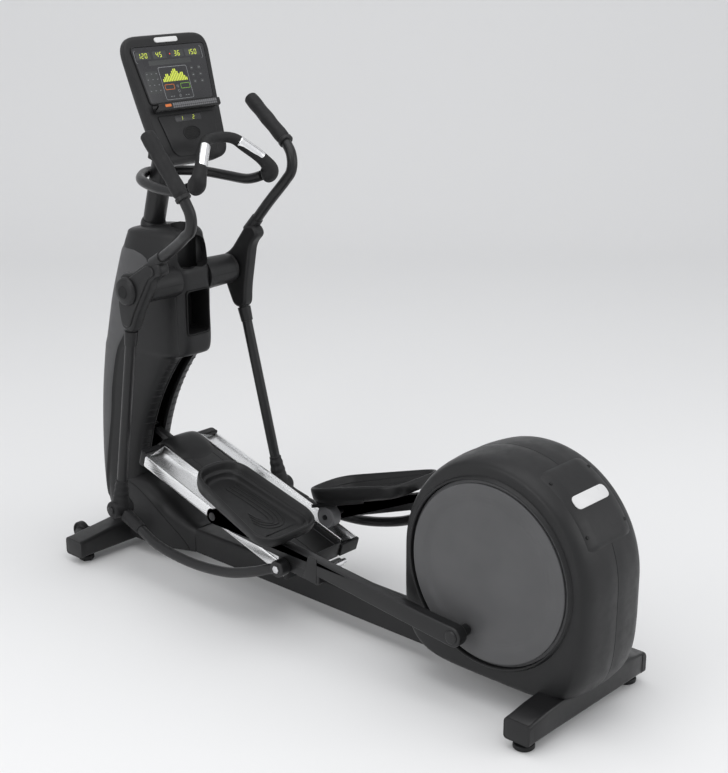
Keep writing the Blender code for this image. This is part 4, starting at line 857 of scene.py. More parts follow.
def make_rear_cap():
    """Cap over the top rear of the drive cover, with a blank pill and four screw heads."""
    grow = -0.0012
    cap = panel("drive_cover_cap", *arch_patch(24, 68, 0.104, grow, 0.0032))
    done(cap, "charcoal", "frame", "rear_top_cap", slot="black_plastic")
    middle = math.radians(47)
    away = np.array([math.cos(middle), 0, math.sin(middle)])
    down = np.array([math.sin(middle), 0, -math.cos(middle)])
    centre = np.array([CRANK[0] + (REAR_END - CRANK[0]) * away[0], 0, CRANK[2] + COVER_TOP * away[2]])
    pill = rounded_outline([(-0.074, -0.020), (0.074, -0.020), (0.074, 0.020), (-0.074, 0.020)], 0.0190, 10)
    flat = slab(pill, 0.0005, 0.0032, 0.0008, "z")
    points = centre + flat[..., :1] * ALONG_Y + flat[..., 1:2] * down + flat[..., 2:] * away
    done(skin("blank_badge_rear", points), "badge_white", "frame", slot="grey_plastic")
    screws = []
    for y in (-0.086, 0.086):
        for angle in (31, 61):
            a = math.radians(angle)
            at = np.array([CRANK[0] + (REAR_END - CRANK[0] - 0.0035) * math.cos(a), y,
                           CRANK[2] + (COVER_TOP - 0.0035) * math.sin(a)])
            out = np.array([math.cos(a), 0, math.sin(a)])
            low = np.cross(out, ALONG_Y)
            ring = turned([(0.0, 0.000), (0.0052, 0.000), (0.0052, 0.0022), (0.0, 0.0022)], (0, 0, 0), 1,
                          24, "z")
            screws.append(at + ring[..., :1] * ALONG_Y + ring[..., 1:2] * low + ring[..., 2:] * out)
    done(skins("cap_screws", screws), "inner_black", "frame", slot="steel")


def make_discs():
    """Crank discs: a shallow dished face inside a rounded rim."""
    for side, word in SIDES:
        r = DISC_RADIUS
        profile = [(0.0, 0.1320), (r - 0.0006, 0.1320), (r - 0.0006, 0.1370), (r - 0.0105, 0.1385),
                   (r - 0.0095, 0.1412), (r - 0.0095, 0.1462), (r - 0.011, 0.1480),
                   (r - 0.016, 0.1486), (0.230, 0.1484), (0.222, 0.1478), (0.214, 0.1462), (0.206, 0.1446),
                   (0.196, 0.1438), (0.120, 0.1434), (0.0, 0.1432)]
        disc = skin(f"crank_disc_face_{word}",
                    turned(eased(profile, 0.0018), (CRANK[0], 0, CRANK[2]), side, 160), caps=False)
        done(disc, "disc_grey", "crank", f"crank_disc_{word}", slot="disc_grey")


# Console and handrail

LEAN = np.array([math.cos(CONSOLE_TILT), 0.0, math.sin(CONSOLE_TILT)])  # out of the console's face
RISE = np.array([-math.sin(CONSOLE_TILT), 0.0, math.cos(CONSOLE_TILT)])  # up the console's face


def on_console(across, up, out):
    """Points on the console from distances across, up its face and out of it."""
    across, up, out = (np.asarray(v, float)[..., None] for v in (across, up, out))
    return CONSOLE_FOOT + across * ALONG_Y + up * RISE + out * LEAN


def console_half(up):
    """Half width of the console at a height up its face."""
    return CONSOLE_FOOT_HALF + CONSOLE_SPREAD * up / CONSOLE_HEIGHT


def tile(outline, low, high, edge=0.0006):
    """Grid of a flat shape lying on the console's face, given a thickness."""
    flat = slab(np.asarray(outline, float), low, high, edge, "z")
    return on_console(flat[..., 0], flat[..., 1], flat[..., 2])


def plaque(left, right, low, high, rounding=0.002):
    """Outline of a rounded rectangle on the console's face."""
    return rounded_outline([(left, low), (right, low), (right, high), (left, high)], rounding, 4)


def stroke(points, width=0.0011, closed=False):
    """A flat line of even width along a polyline on the console's face, as one closed outline."""
    line = np.asarray(points, float)
    if closed:
        line = np.concatenate([line, line[:1]])
    tangent = unit(np.gradient(line, axis=0))
    normal = np.stack([-tangent[:, 1], tangent[:, 0]], axis=-1) * width / 2
    return np.concatenate([line - normal, (line + normal)[::-1]])


def make_console_shell():
    """Slab with a crowned back: each ring is a superellipse behind a flat face, on smooth curves of size."""
    knots = smooth(
        [(0.000, 0.088, 0.030, 0.016), (0.006, 0.110, 0.046, 0.006), (0.022, 0.127, 0.060, 0.001),
         (0.060, 0.136, 0.068, 0.000), (0.200, 0.151, 0.066, 0.000), (0.320, 0.165, 0.052, 0.000),
         (0.352, 0.1675, 0.048, 0.000), (0.374, 0.164, 0.044, 0.000), (0.390, 0.154, 0.038, 0.001),
         (0.400, 0.138, 0.030, 0.005), (0.4040, 0.120, 0.022, 0.010)],
        70,
    )
    turn = np.linspace(0, 2 * np.pi, 120, endpoint=False) + 0.013
    c, s = np.cos(turn), np.sin(turn)
    across = np.sign(c) * np.abs(c) ** 0.30
    deep = np.where(s > 0, np.abs(s) ** 0.30, -np.abs(s) ** 0.55)
    half, depth, back = (knots[:, k : k + 1] for k in (1, 2, 3))
    out = np.where(s > 0, deep * 0.012 - 0.012 - back, -0.012 - back + deep * (depth - 0.012))
    up = np.broadcast_to(knots[:, :1], out.shape)
    shell = skin("console_housing", on_console(half * across, up, out))
    return done(shell, "charcoal", "frame", "console_shell", slot="black_plastic")


def make_console_face():
    """Display glass with a rim, blank pill above it, and lower face with an oval recess."""
    low, high = 0.190, 0.366
    corners = [(-console_half(low) + 0.016, low), (console_half(low) - 0.016, low),
               (console_half(high) - 0.016, high), (-console_half(high) + 0.016, high)]
    outline = rounded_outline(corners, [0.010, 0.010, 0.016, 0.016], 8)
    grow = drawn_in(outline, -0.004)
    rim = hollow("display_rim", np.stack([tile_ring(grow, 0.0002), tile_ring(grow, 0.0028),
                                          tile_ring(drawn_in(grow, 0.0012), 0.0042)]),
                 np.stack([tile_ring(outline, 0.0002), tile_ring(outline, 0.0030),
                           tile_ring(drawn_in(outline, -0.0008), 0.0042)]))
    done(rim, "charcoal", "frame", slot="black_plastic")
    glass = skin("display_glass", tile(drawn_in(outline, 0.0003), 0.0002, 0.0026, 0.0007))
    done(glass, "glass", "frame", "console_face", slot="glass")
    pill = skin("blank_badge_front", tile(plaque(-0.046, 0.046, 0.3765, 0.3925, 0.0078), -0.003, 0.0032,
                                          0.0012))
    done(pill, "badge_white", "frame", slot="grey_plastic")
    lower = rounded_outline([(-0.088, 0.020), (0.088, 0.020), (0.116, 0.150), (-0.116, 0.150)],
                            [0.03, 0.03, 0.008, 0.008], 10)
    done(skin("console_lower_face", tile(lower, 0.0002, 0.0034, 0.0014)), "charcoal", "frame",
         slot="grey_plastic")
    dark = plaque(-0.053, 0.053, 0.126, 0.146, 0.006)
    done(skin("fan_display", tile(dark, 0.0030, 0.0044, 0.0006)), "glass", "frame", slot="glass")
    turn = np.linspace(0, 2 * np.pi, 48, endpoint=False)
    oval = np.column_stack([0.034 * np.cos(turn), 0.088 + 0.023 * np.sin(turn)])
    ring = hollow("vent_rim", np.stack([tile_ring(oval, 0.002), tile_ring(oval, 0.0050)]),
                  np.stack([tile_ring(drawn_in(oval, 0.0022), 0.002),
                            tile_ring(drawn_in(oval, 0.0022), 0.0050)]))
    done(ring, "charcoal", "frame", slot="black_plastic")
    slats = []
    for up in np.linspace(0.071, 0.105, 8):
        reach = 0.032 * math.sqrt(max(0.02, 1 - ((up - 0.088) / 0.0215) ** 2))
        slats.append(tile(plaque(-reach, reach, up - 0.0011, up + 0.0011, 0.0008), 0.0030, 0.0046, 0.0005))
    done(skins("vent_slats", slats), "inner_black", "frame", slot="black_plastic")
    bed = skin("vent_bed", tile(drawn_in(oval, 0.001), 0.003, 0.0037, 0.0002))
    done(bed, "inner_black", "frame", slot="black_plastic")


def tile_ring(outline, out):
    """One ring of points on the console's face at a distance out."""
    return on_console(outline[:, 0], outline[:, 1], np.full(len(outline), out))


def make_shelf():
    """Reading shelf: a rounded ledge with a textured strip and a raised lip."""
    half = console_half(0.17) - 0.016
    section = rounded_outline([(-0.001, 0.160), (0.026, 0.158), (0.032, 0.162), (0.0318, 0.1815),
                               (0.0285, 0.1825),
                               (0.0275, 0.1735), (0.004, 0.1750), (0.0005, 0.1865), (-0.001, 0.1865)],
                               0.0022, 4)
    across = np.concatenate([[-half, -half + 0.001], np.linspace(-half + 0.004, half - 0.004, 24),
                             [half - 0.001, half]])
    inset = np.concatenate([[0.0022, 0.0006], np.zeros(24), [0.0006, 0.0022]])
    rings = [on_console(np.full(len(section), y), *np.flip(drawn_in(section, d), axis=1).T) for y,
             d in zip(across, inset)]
    done(skin("phone_shelf", np.stack(rings)), "charcoal", "frame", "reading_shelf", slot="grey_plastic")
    pads = [tile(plaque(-0.070 + 0.0082 * k, -0.0630 + 0.0082 * k, low, low + 0.0052, 0.0012), 0.0305,
                 0.0326, 0.0008)
            for k in range(22) for low in (0.1645, 0.1708, 0.1749)]
    done(skins("shelf_pad", pads), "shelf_grey", "frame", slot="rubber")
    mark = tile(plaque(-0.100, -0.076, 0.1700, 0.1785, 0.002), 0.0305, 0.0326, 0.0005)
    done(skin("shelf_mark", mark), "key_orange", "frame", slot="grey_plastic")


SEGMENTS = {
    # strokes that each digit lights: top, upper and lower right, bottom, lower and upper left, middle
    0: "abcdef", 1: "bc", 2: "abged", 3: "abgcd", 4: "fgbc", 5: "afgcd", 6: "afgecd", 7: "abc",
    8: "abcdefg", 9: "abfgcd",
}


def digit(number, left, low, width, height):
    """Lit bars of one seven-stroke digit."""
    w, h, t = width, height, height * 0.13
    places = {
        "a": (t, w - t, h - t, h), "d": (t, w - t, 0, t), "g": (t, w - t, h / 2 - t / 2, h / 2 + t / 2),
        "b": (w - t, w, h / 2 + t * 0.3, h - t * 0.6), "c": (w - t, w, t * 0.6, h / 2 - t * 0.3),
        "f": (0, t, h / 2 + t * 0.3, h - t * 0.6), "e": (0, t, t * 0.6, h / 2 - t * 0.3),
    }
    slant = 0.10
    grids = []
    for key in SEGMENTS[number]:
        a, b, c, d = places[key]
        corners = np.array([(a, c), (b, c), (b, d), (a, d)])
        corners[:, 0] += corners[:, 1] * slant
        grids.append(tile(corners + [left, low], 0.0022, 0.0028, 0.0001))
    return grids


def digits(numbers, left, low, width=0.0095, height=0.0165, step=0.0135):
    """A row of lit digits."""
    return [grid for k, n in enumerate(numbers) for grid in digit(n, left + k * step, low, width, height)]


def make_display():
    """Windows, digits, bar graph, keys and marks behind the display glass."""
    windows = [(-0.136, -0.080), (-0.070, -0.016), (0.003, 0.053), (0.060, 0.121)]
    grids = [tile(plaque(a, b, 0.3270, 0.3500, 0.002), 0.0020, 0.00265, 0.0001) for a, b in windows]
    grids.append(tile(plaque(-0.094, 0.076, 0.3065, 0.3215, 0.002), 0.0020, 0.00265, 0.0001))
    grids.append(tile(plaque(-0.120, -0.070, 0.2200, 0.2890, 0.003), 0.0020, 0.00262, 0.0001))
    done(skins("display_windows", grids), "window_grey", "frame", slot="glass")
    lit = digits((1, 2, 0), -0.129, 0.3305) + digits((4, 5), -0.058, 0.3305)
    lit += digits((3, 6), 0.015, 0.3305) + digits((1, 5, 0), 0.070, 0.3305)
    base = np.linspace(-0.053, 0.040, 15)
    heights = np.array([9, 15, 24, 24, 17, 24, 32, 38, 38, 30, 22, 26, 26, 15, 9]) * 0.001
    for x, tall in zip(base, heights):
        lit.append(tile(plaque(x - 0.0023, x + 0.0023, 0.2530, 0.2530 + tall, 0.0003), 0.0022, 0.0028,
                        0.0001))
    done(skins("display_lit", lit), "lit_green", "frame", slot="glass")
    lines = [
        tile(stroke(rounded_outline([(-0.062, 0.197), (0.048, 0.197), (0.050, 0.299), (-0.064, 0.299)],
                                    0.006), 0.0011, True), 0.0020, 0.0028, 0.0001),
    ]
    for side in (-1, 1):
        a = 0.141 if side < 0 else 0.129
        bracket = [(side * (a - 0.006), 0.3560), (side * a, 0.3540), (side * a, 0.3190),
                   (side * (a - 0.006), 0.3170)]
        lines.append(tile(stroke(bracket, 0.0010), 0.0020, 0.0028, 0.0001))
    for x, up in ((-0.005, 0.2365), (-0.004, 0.2215), (-0.004, 0.2065)):
        ring = np.array([(x + 0.0035 * math.cos(a), up + 0.0035 * math.sin(a)) for a in np.linspace(0,
            2 * np.pi, 16, endpoint=False)])
        lines.append(tile(stroke(ring, 0.0009, True), 0.0020, 0.0028, 0.0001))
    for row in range(4):
        for column in range(3):
            x, up = -0.1130 + 0.0185 * column, 0.2290 + 0.0175 * row
            lines.append(tile(plaque(x - 0.0022, x + 0.0022, up - 0.0007, up + 0.0007, 0.0003), 0.0022,
                              0.0029, 0.0001))
    for x, up in [(-0.040, 0.2065), (-0.030, 0.2065), (0.020, 0.2065), (0.030, 0.2065)]:
        lines.append(tile(plaque(x - 0.003, x + 0.003, up - 0.0007, up + 0.0007, 0.0003), 0.0020, 0.0028,
                          0.0001))
    done(skins("display_marks", lines), "ink_white", "frame", slot="glass")
    keys = [tile(plaque(a - 0.0065, a + 0.0065, b - 0.0062, b + 0.0062, 0.003), 0.0018, 0.0031, 0.0004)
            for a in (0.070, 0.1000) for b in (0.2455, 0.2670, 0.2885)]
    done(skins("side_keys", keys), "window_grey", "frame", slot="glass")
    marks = [tile(plaque(a - 0.0030, a + 0.0030, b - 0.0008, b + 0.0008, 0.0004), 0.0029, 0.0034, 0.0001)
             for a in (0.070, 0.1000) for b in (0.2455, 0.2670, 0.2885)]
    done(skins("side_key_marks", marks), "ink_white", "frame", slot="glass")
    for name, left, right, finish in (("stop_key", -0.055, -0.019, "key_orange"),
                                      ("start_key", 0.008, 0.044, "key_green")):
        edge = stroke(plaque(left, right, 0.2285, 0.2440, 0.003), 0.0016, True)
        done(skin(name, tile(edge, 0.0020, 0.0031, 0.0002)), finish, "frame", slot="glass")
    dot = [(-0.0015 + 0.0016 * math.cos(a), 0.3385 + 0.0016 * math.sin(a)) for a in np.linspace(0,
        2 * np.pi, 12, endpoint=False)]
    done(skin("signal_dot", tile(dot, 0.0020, 0.0031, 0.0002)), "lit_red", "frame", slot="glass")
    small = digits((1, 2), -0.031, 0.1295, 0.0080, 0.0130, 0.0480)
    done(skins("fan_digits", [grid + LEAN * 0.0019 for grid in small]), "lit_green", "frame", slot="glass")


def make_handrail():
    """Tube from each hand grip round the front of the mast, and the moulded grips across the console."""
    half = [(-0.440, 0.152, 1.312), (-0.480, 0.152, 1.298), (-0.525, 0.152, 1.290), (-0.605, 0.148, 1.292),
            (-0.690, 0.126, 1.298), (-0.760, 0.072, 1.300)]
    knots = [(x, -y, z) for x, y, z in half] + [(-0.8045, 0, 1.300)] + half[::-1]
    done(rod("handrail_tube", smooth(knots, 120), 0.016, ALONG_Z, 0.004, 32), "gloss_black", "frame",
         "handrail", slot="black_paint")
    half = [(-0.432, 0.1520, 1.308), (-0.414, 0.1515, 1.319), (-0.406, 0.147, 1.340),
            (-0.420, 0.124, 1.372),
            (-0.452, 0.084, 1.411), (-0.468, 0.063, 1.430), (-0.479, 0.036, 1.4385)]
    knots = [(x, -y, z) for x, y, z in half] + [(-0.484, 0, 1.440)] + half[::-1]
    path = smooth(knots, 150)
    from_end = np.minimum(np.arange(150), np.arange(150)[::-1]) / 75
    bulge = 0.62 * np.exp(-(((from_end - 0.17) / 0.17) ** 2))
    palm = 0.14 * np.exp(-(((from_end - 0.52) / 0.22) ** 2))
    swell = 0.86 + bulge + palm
    grip = rod("hand_grip_cover", path, 0.0190, np.array([1.0, 0.0, 0.4]), 0.010, 36, swell)
    done(grip, "soft_black", "frame", "hand_grips", slot="rubber")
    strips, lines = [], []
    facing = unit(np.array([0.80, 0.0, 0.60]))
    for side, _word in SIDES:
        knots = [(x, side * y, z) for x, y, z in half[2:6]]
        run = smooth(knots, 60)[17:54] + facing * 0.0026
        strips.append(carried(run, circle((0.0178, 0.0184), 28), facing, rounded_ends(run, 0.006)))
        lines.append(carried(run[4:-4], circle((0.0010, 0.0190), 12), facing,
                             rounded_ends(run[4:-4], 0.003)))
    done(skins("pulse_contacts", strips), "chrome", "frame", slot="steel")
    done(skins("pulse_contact_lines", lines), "charcoal", "frame", slot="black_plastic")


# Handlebars, links and boots


def arm_frame(side, points):
    """Points of an upright handlebar brought to its lean at rest."""
    return swung(points, (PIVOT[0], 0, PIVOT[2]), -side * BAR_SWING)


def mirrored(points, side):
    """Points with their distance across the machine given the side's sign."""
    return np.asarray(points, float) * [1, side, 1]


def make_handlebar(side, word):
    """Pivot housing with its cap, the upper tube and its grip, and the lower arm."""
    body = f"handlebar_{word}"
    outline = rounded_outline([(-0.052, 0.040), (-0.050, -0.045), (-0.024, -0.135), (0.030, -0.137),
                               (0.046, -0.070),
                               (0.100, 0.072), (0.142, 0.100), (0.128, 0.134), (0.088, 0.136),
                               (0.000, 0.058)], 0.030, 8)
    housing = slab(outline, 0.199, 0.241, 0.011, "y", 6) * [1, side, 1]
    done(skin(f"bar_housing_{word}", arm_frame(side, housing)), "charcoal", body, f"pivot_housing_{word}",
         slot="black_plastic")
    crease = rounded_outline([(-0.042, 0.020), (-0.040, -0.050), (-0.016, -0.118), (0.022, -0.118),
                              (0.036, -0.062),
                              (0.088, 0.070), (0.116, 0.092), (0.106, 0.112), (0.078, 0.114),
                              (0.000, 0.044)], 0.026, 8)
    plate = slab(crease, 0.236, 0.2465, 0.005, "y", 4) * [1, side, 1]
    done(skin(f"bar_housing_plate_{word}", arm_frame(side, plate)), "charcoal", body, slot="black_plastic")
    cap = eased([(0.0, 0.240), (0.045, 0.240), (0.0455, 0.252), (0.040, 0.260), (0.024, 0.2645),
                 (0.0, 0.2655)], 0.003)
    done(skin(f"bar_pivot_cap_{word}", arm_frame(side, turned(cap, (0, 0, 0), side, 72)), caps=False),
         "charcoal", body, slot="black_plastic")
    seam = turned(eased([(0.0, 0.2585), (0.0215, 0.2585), (0.0215, 0.2652), (0.018, 0.2675), (0.0, 0.268)],
                        0.002), (0, 0, 0), side, 48)
    done(skin(f"bar_pivot_button_{word}", arm_frame(side, seam), caps=False), "inner_black", body,
         slot="black_plastic")
    knots = mirrored([(0.078, 0.219, 0.109), (0.120, 0.224, 0.147), (0.180, 0.234, 0.200),
                      (0.225, 0.247, 0.240),
                      (0.250, 0.256, 0.264), (0.273, 0.261, 0.287), (0.2815, 0.265, 0.315),
                      (0.277, 0.270, 0.346),
                      (0.262, 0.275, 0.371), (0.246, 0.279, 0.392)], side)
    tube = rod(f"upper_tube_{word}", arm_frame(side, smooth(knots, 80)), 0.017, ALONG_Y, sides=40)
    done(tube, "gloss_black", body, f"handlebar_{word}", slot="black_paint")
    start, end = np.array([0.2520, side * 0.279, 0.3862]), np.array([0.0917, side * 0.300, 0.5413])
    share = np.linspace(0, 1, 70)[:, None]
    path = start + (end - start) * share
    run = share[:, 0]
    swell = 1.0 - 0.03 * np.cos(run * 2 * np.pi * 3) - 0.10 * np.exp(-((run - 0.045) / 0.016) ** 2)
    swell = swell + 0.10 * np.exp(-((run - 0.012) / 0.02) ** 2)
    grip = rod(f"bar_grip_{word}", arm_frame(side, path), 0.0228, ALONG_Y, 0.012, 40, swell)
    done(grip, "soft_black", body, f"handlebar_grip_{word}", slot="rubber")
    ring = path[0] + (path[4] - path[0]) * np.linspace(-0.6, 0.7, 10)[:, None]
    done(rod(f"bar_grip_ring_{word}", arm_frame(side, ring), 0.0242, ALONG_Y, 0.003, 40), "charcoal", body,
         slot="black_plastic")
    top, foot = np.array([0.004, side * 0.220, -0.118]), np.array([0.037, side * 0.238, -0.756])
    line = top + (foot - top) * np.linspace(-0.02, 0.965, 60)[:, None]
    done(rod(f"lower_tube_{word}", arm_frame(side, line), 0.017, ALONG_Y, sides=40), "gloss_black", body,
         f"lower_arm_{word}", slot="black_paint")
    for name, at, reach in (("top", (0.094, 0.2215, 0.124), (0.130, 0.226, 0.156)),
                            ("low", (0.0055, 0.2208, -0.148), (0.0085, 0.2222, -0.188))):
        a, b = mirrored([at, reach], side)
        sleeve = a + (b - a) * np.linspace(-0.35, 1, 16)[:, None]
        shape = np.linspace(1.20, 1.06, 16)
        done(rod(f"bar_socket_{name}_{word}", arm_frame(side, sleeve), 0.0185, ALONG_Y, 0.004, 40, shape),
             "charcoal", body, slot="black_plastic")


def make_boot(side, word):
    """Rubber boot at a lower arm's end: a barrel with a cone up the arm and a bolt at its outer end."""
    pivot = np.array(JOINTS[f"boot_turn_{word}"]["pos_m"], float) * [1, 0, 1]
    body = f"boot_{word}"
    profile = [(0.0, 0.200), (0.024, 0.200), (0.0285, 0.205), (0.0300, 0.216), (0.0315, 0.238),
               (0.0300, 0.260),
               (0.0285, 0.2705), (0.0240, 0.2755), (0.0, 0.2765)]
    barrel = turned(eased(profile, 0.002), pivot, side, 64)
    done(skin(f"boot_barrel_{word}", barrel, caps=False), "boot_rubber", body, f"lower_boot_{word}",
         slot="rubber")
    bolt = turned(eased([(0.0, 0.272), (0.0135, 0.272), (0.0135, 0.2795), (0.010, 0.2825), (0.0, 0.2830)],
                        0.001), pivot, side, 32)
    done(skin(f"boot_bolt_{word}", bolt, caps=False), "gloss_black", body, slot="black_paint")
    foot = np.array([0.037, side * 0.238, -0.756])
    top = np.array([0.004, side * 0.220, -0.118])
    up = unit(top - foot)
    run = foot + up * np.linspace(0.010, 0.104, 40)[:, None]
    share = np.linspace(0, 1, 40)
    width = 1.42 - 0.52 * share**0.8 + 0.04 * np.cos(share * 2 * np.pi * 4) * (share > 0.35)
    neck = rod(f"boot_neck_{word}", arm_frame(side, run), 0.0215, ALONG_Y, 0.004, 48, width)
    done(neck, "boot_rubber", f"handlebar_{word}", slot="rubber")


def make_link(side, word):
    """Curved tube from a boot back to the pedal's arm, with a bolted head at its rear."""
    pivot = np.array(JOINTS[f"boot_turn_{word}"]["pos_m"], float) * [1, 0, 1]
    turn = math.radians({-1: -0.878, 1: -9.43}[side])
    knots = mirrored([(0.020, 0.238, -0.012), (0.050, 0.239, -0.026), (0.085, 0.240, -0.040),
                      (0.200, 0.250, -0.076), (0.360, 0.250, -0.091),
                      (0.520, 0.250, -0.076), (0.640, 0.248, -0.040), (0.700, 0.242, -0.016),
                      (0.746, 0.238, -0.002)], side)
    body = f"link_{word}"
    done(rod(f"link_tube_{word}", swung(smooth(knots, 90), pivot, turn), 0.016, ALONG_Y, sides=36),
         "gloss_black", body, f"link_{word}", slot="black_paint")
    head = turned(eased([(0.0, 0.2200), (0.0235, 0.2200), (0.0260, 0.2225), (0.0260, 0.2530),
                         (0.0235, 0.2560), (0.0, 0.2560)], 0.0012), (0, 0, 0), side, 56)
    done(skin(f"link_head_{word}", swung(head + [0.746, 0, 0], pivot, turn), caps=False), "gloss_black",
         body, slot="black_paint")
    bolt = turned(eased([(0.0, 0.2550), (0.0125, 0.2550), (0.0125, 0.2600), (0.0, 0.2620)], 0.001),
                  (0, 0, 0), side, 6)
    done(skin(f"link_bolt_{word}", swung(bolt + [0.746, 0, 0], pivot, turn), caps=False), "steel", body,
         slot="steel")
    knots = mirrored([(0.030, 0.238, -0.018), (0.055, 0.2385, -0.029), (0.085, 0.240, -0.040),
                      (0.110, 0.242, -0.049)], side)
    collar = smooth(knots, 24)
    shape = np.linspace(1.35, 1.08, 24)
    done(rod(f"link_collar_{word}", swung(collar, pivot, turn), 0.0172, ALONG_Y, 0.004, 40, shape),
         "boot_rubber", body, slot="rubber")


# Feet and wheels


def foot_grid(y, low_x, high_x, low_z, high_z, corner):
    """Rings of a rounded box section along Y, each with its own limits."""
    rings = []
    for values in zip(y, low_x, high_x, low_z, high_z, np.broadcast_to(corner, len(y))):
        at, a, b, c, d, r = values
        plan = rounded_outline([(a, c), (b, c), (b, d), (a, d)], r, 6)
        rings.append(np.column_stack([plan[:, 0], np.full(len(plan), at), plan[:, 1]]))
    return np.stack(rings)


def make_front_foot():
    """Tapered front foot with end caps, hexagonal pads and the transport wheels' lugs."""
    span = FOOT_FRONT[1][1]
    y = np.array([-span, -span + 0.001, -span + 0.004, -0.24, -0.10, 0.10, 0.24, span - 0.004,
                  span - 0.001, span])
    shrink = np.array([0.006, 0.002, 0, 0, 0, 0, 0, 0, 0.002, 0.006])
    drop = np.array([0.026, 0.024, 0.022, 0.014, 0, 0, 0.014, 0.022, 0.024, 0.026])
    x = FRONT_FOOT_X
    grid = foot_grid(y, x - 0.040 + shrink, x + 0.040 - shrink, 0.028 + shrink,
                     0.108 - drop - shrink * 0.5, 0.012)
    done(skin("front_cross_foot", grid), "gloss_black", "frame", "front_foot", slot="black_paint")
    caps = []
    for side, _word in SIDES:
        at = side * np.array([span - 0.020, span - 0.019, span - 0.001, span - 0.0002])
        keep = foot_grid(at, [x - 0.0408] * 4, [x + 0.0408] * 4, [0.0275] * 4,
                         [0.0875, 0.0875, 0.0868, 0.0850], 0.012)
        caps.append(keep)
    done(skins("front_foot_caps", caps), "charcoal", "frame", slot="black_plastic")
    pads = []
    for side, _word in SIDES:
        profile = eased([(0.0, 0.0), (0.0225, 0.0), (0.0255, 0.004), (0.0255, 0.0150), (0.0215, 0.019),
                         (0.010, 0.020), (0.010, 0.036), (0.0, 0.036)], 0.0008)
        pads.append(turned(profile, (x, side * 0.262, 0), 1, 6, "z"))
    done(skins("front_hex_pads", pads), "boot_rubber", "frame", slot="rubber")
    for side, word in SIDES:
        wheel_at = np.array(JOINTS[f"transport_wheel_spin_{word}"]["pos_m"], float)
        profile = eased([(0.0, -0.008), (0.010, -0.0095), (0.014, -0.0095), (0.017, -0.006),
                         (0.026, -0.006), (0.028, -0.0105), (0.0325, -0.0105), (0.0340, -0.008),
                         (0.0340, 0.008), (0.0325, 0.0105), (0.028, 0.0105), (0.026, 0.006),
                         (0.017, 0.006), (0.014, 0.0095), (0.010, 0.0095), (0.0, 0.008)], 0.0008)
        wheel = turned(profile, (wheel_at[0], side * 0.215, wheel_at[2]), side, 64)
        done(skin(f"transport_wheel_tyre_{word}", wheel, caps=False), "boot_rubber",
             f"transport_wheel_{word}", f"transport_wheel_{word}", slot="rubber")
    lugs = []
    for side, _word in SIDES:
        for off in (-0.019, 0.015):
            plate = rounded_outline([(-0.930, 0.050), (-0.930, 0.088), (-1.000, 0.078), (-1.006, 0.056),
                                     (-0.985, 0.048)], 0.010, 6)
            a, b = sorted((side * (0.215 + off), side * (0.215 + off + 0.004)))
            lugs.append(slab(plate, a, b, 0.0008, "y"))
    done(skins("wheel_lugs", lugs), "gloss_black", "frame", slot="black_paint")


def make_rear_foot():
    """Rear foot: a box section whose ends taper, with a hole in each end cap and two levellers."""
    span = FOOT_REAR[1][1]
    y = np.array([-span, -span + 0.001, -span + 0.004, -0.20, -0.12, 0.12, 0.20, span - 0.004,
                  span - 0.001, span])
    shrink = np.array([0.005, 0.0016, 0, 0, 0, 0, 0, 0, 0.0016, 0.005])
    drop = np.array([0.010, 0.009, 0.008, 0.003, 0, 0, 0.003, 0.008, 0.009, 0.010])
    grid = foot_grid(y, REAR_FOOT_X - 0.042 + shrink, REAR_FOOT_X + 0.042 - shrink, 0.029 + shrink,
                     0.108 - drop * 2.2 - shrink * 0.5, 0.012)
    done(skin("rear_cross_foot", grid), "gloss_black", "frame", "rear_foot", slot="black_paint")
    for side, word in SIDES:
        at = side * np.array([span - 0.018, span - 0.017, span - 0.001, span - 0.0002])
        cap = skin(f"rear_foot_cap_{word}",
                   foot_grid(at, [0.8712] * 4, [0.9568] * 4, [0.0284] * 4,
                             [0.0922, 0.0918, 0.0900, 0.0884], 0.012))
        hole = skin("hole_cutter", turned([(0.0, span - 0.008), (0.0075, span - 0.008),
                                           (0.0075, span + 0.01), (0.0, span + 0.01)], (REAR_FOOT_X, 0, 0.058),
                                           side, 28), caps=False)
        cut_away(cap, hole)
        done(cap, "charcoal", "frame", slot="black_plastic")
        profile = eased([(0.0, 0.0), (0.026, 0.0), (0.030, 0.004), (0.030, 0.0120), (0.0275, 0.0150),
                         (0.012, 0.0175), (0.012, 0.0240), (0.0062, 0.0250), (0.0062, 0.040),
                         (0.0, 0.040)], 0.0009)
        foot = turned(profile, (REAR_FOOT_X, side * 0.244, 0), 1, 56, "z")
        done(skin(f"leveller_foot_{word}", foot, caps=False), "boot_rubber", f"leveller_{word}",
             f"leveller_{word}", slot="rubber")


# Ramp


def on_ramp(points):
    """Points given along the ramp, across and above it, brought to the row frame."""
    return swung(points, (RAMP[0], 0, RAMP[2]), RAMP_ANGLE)


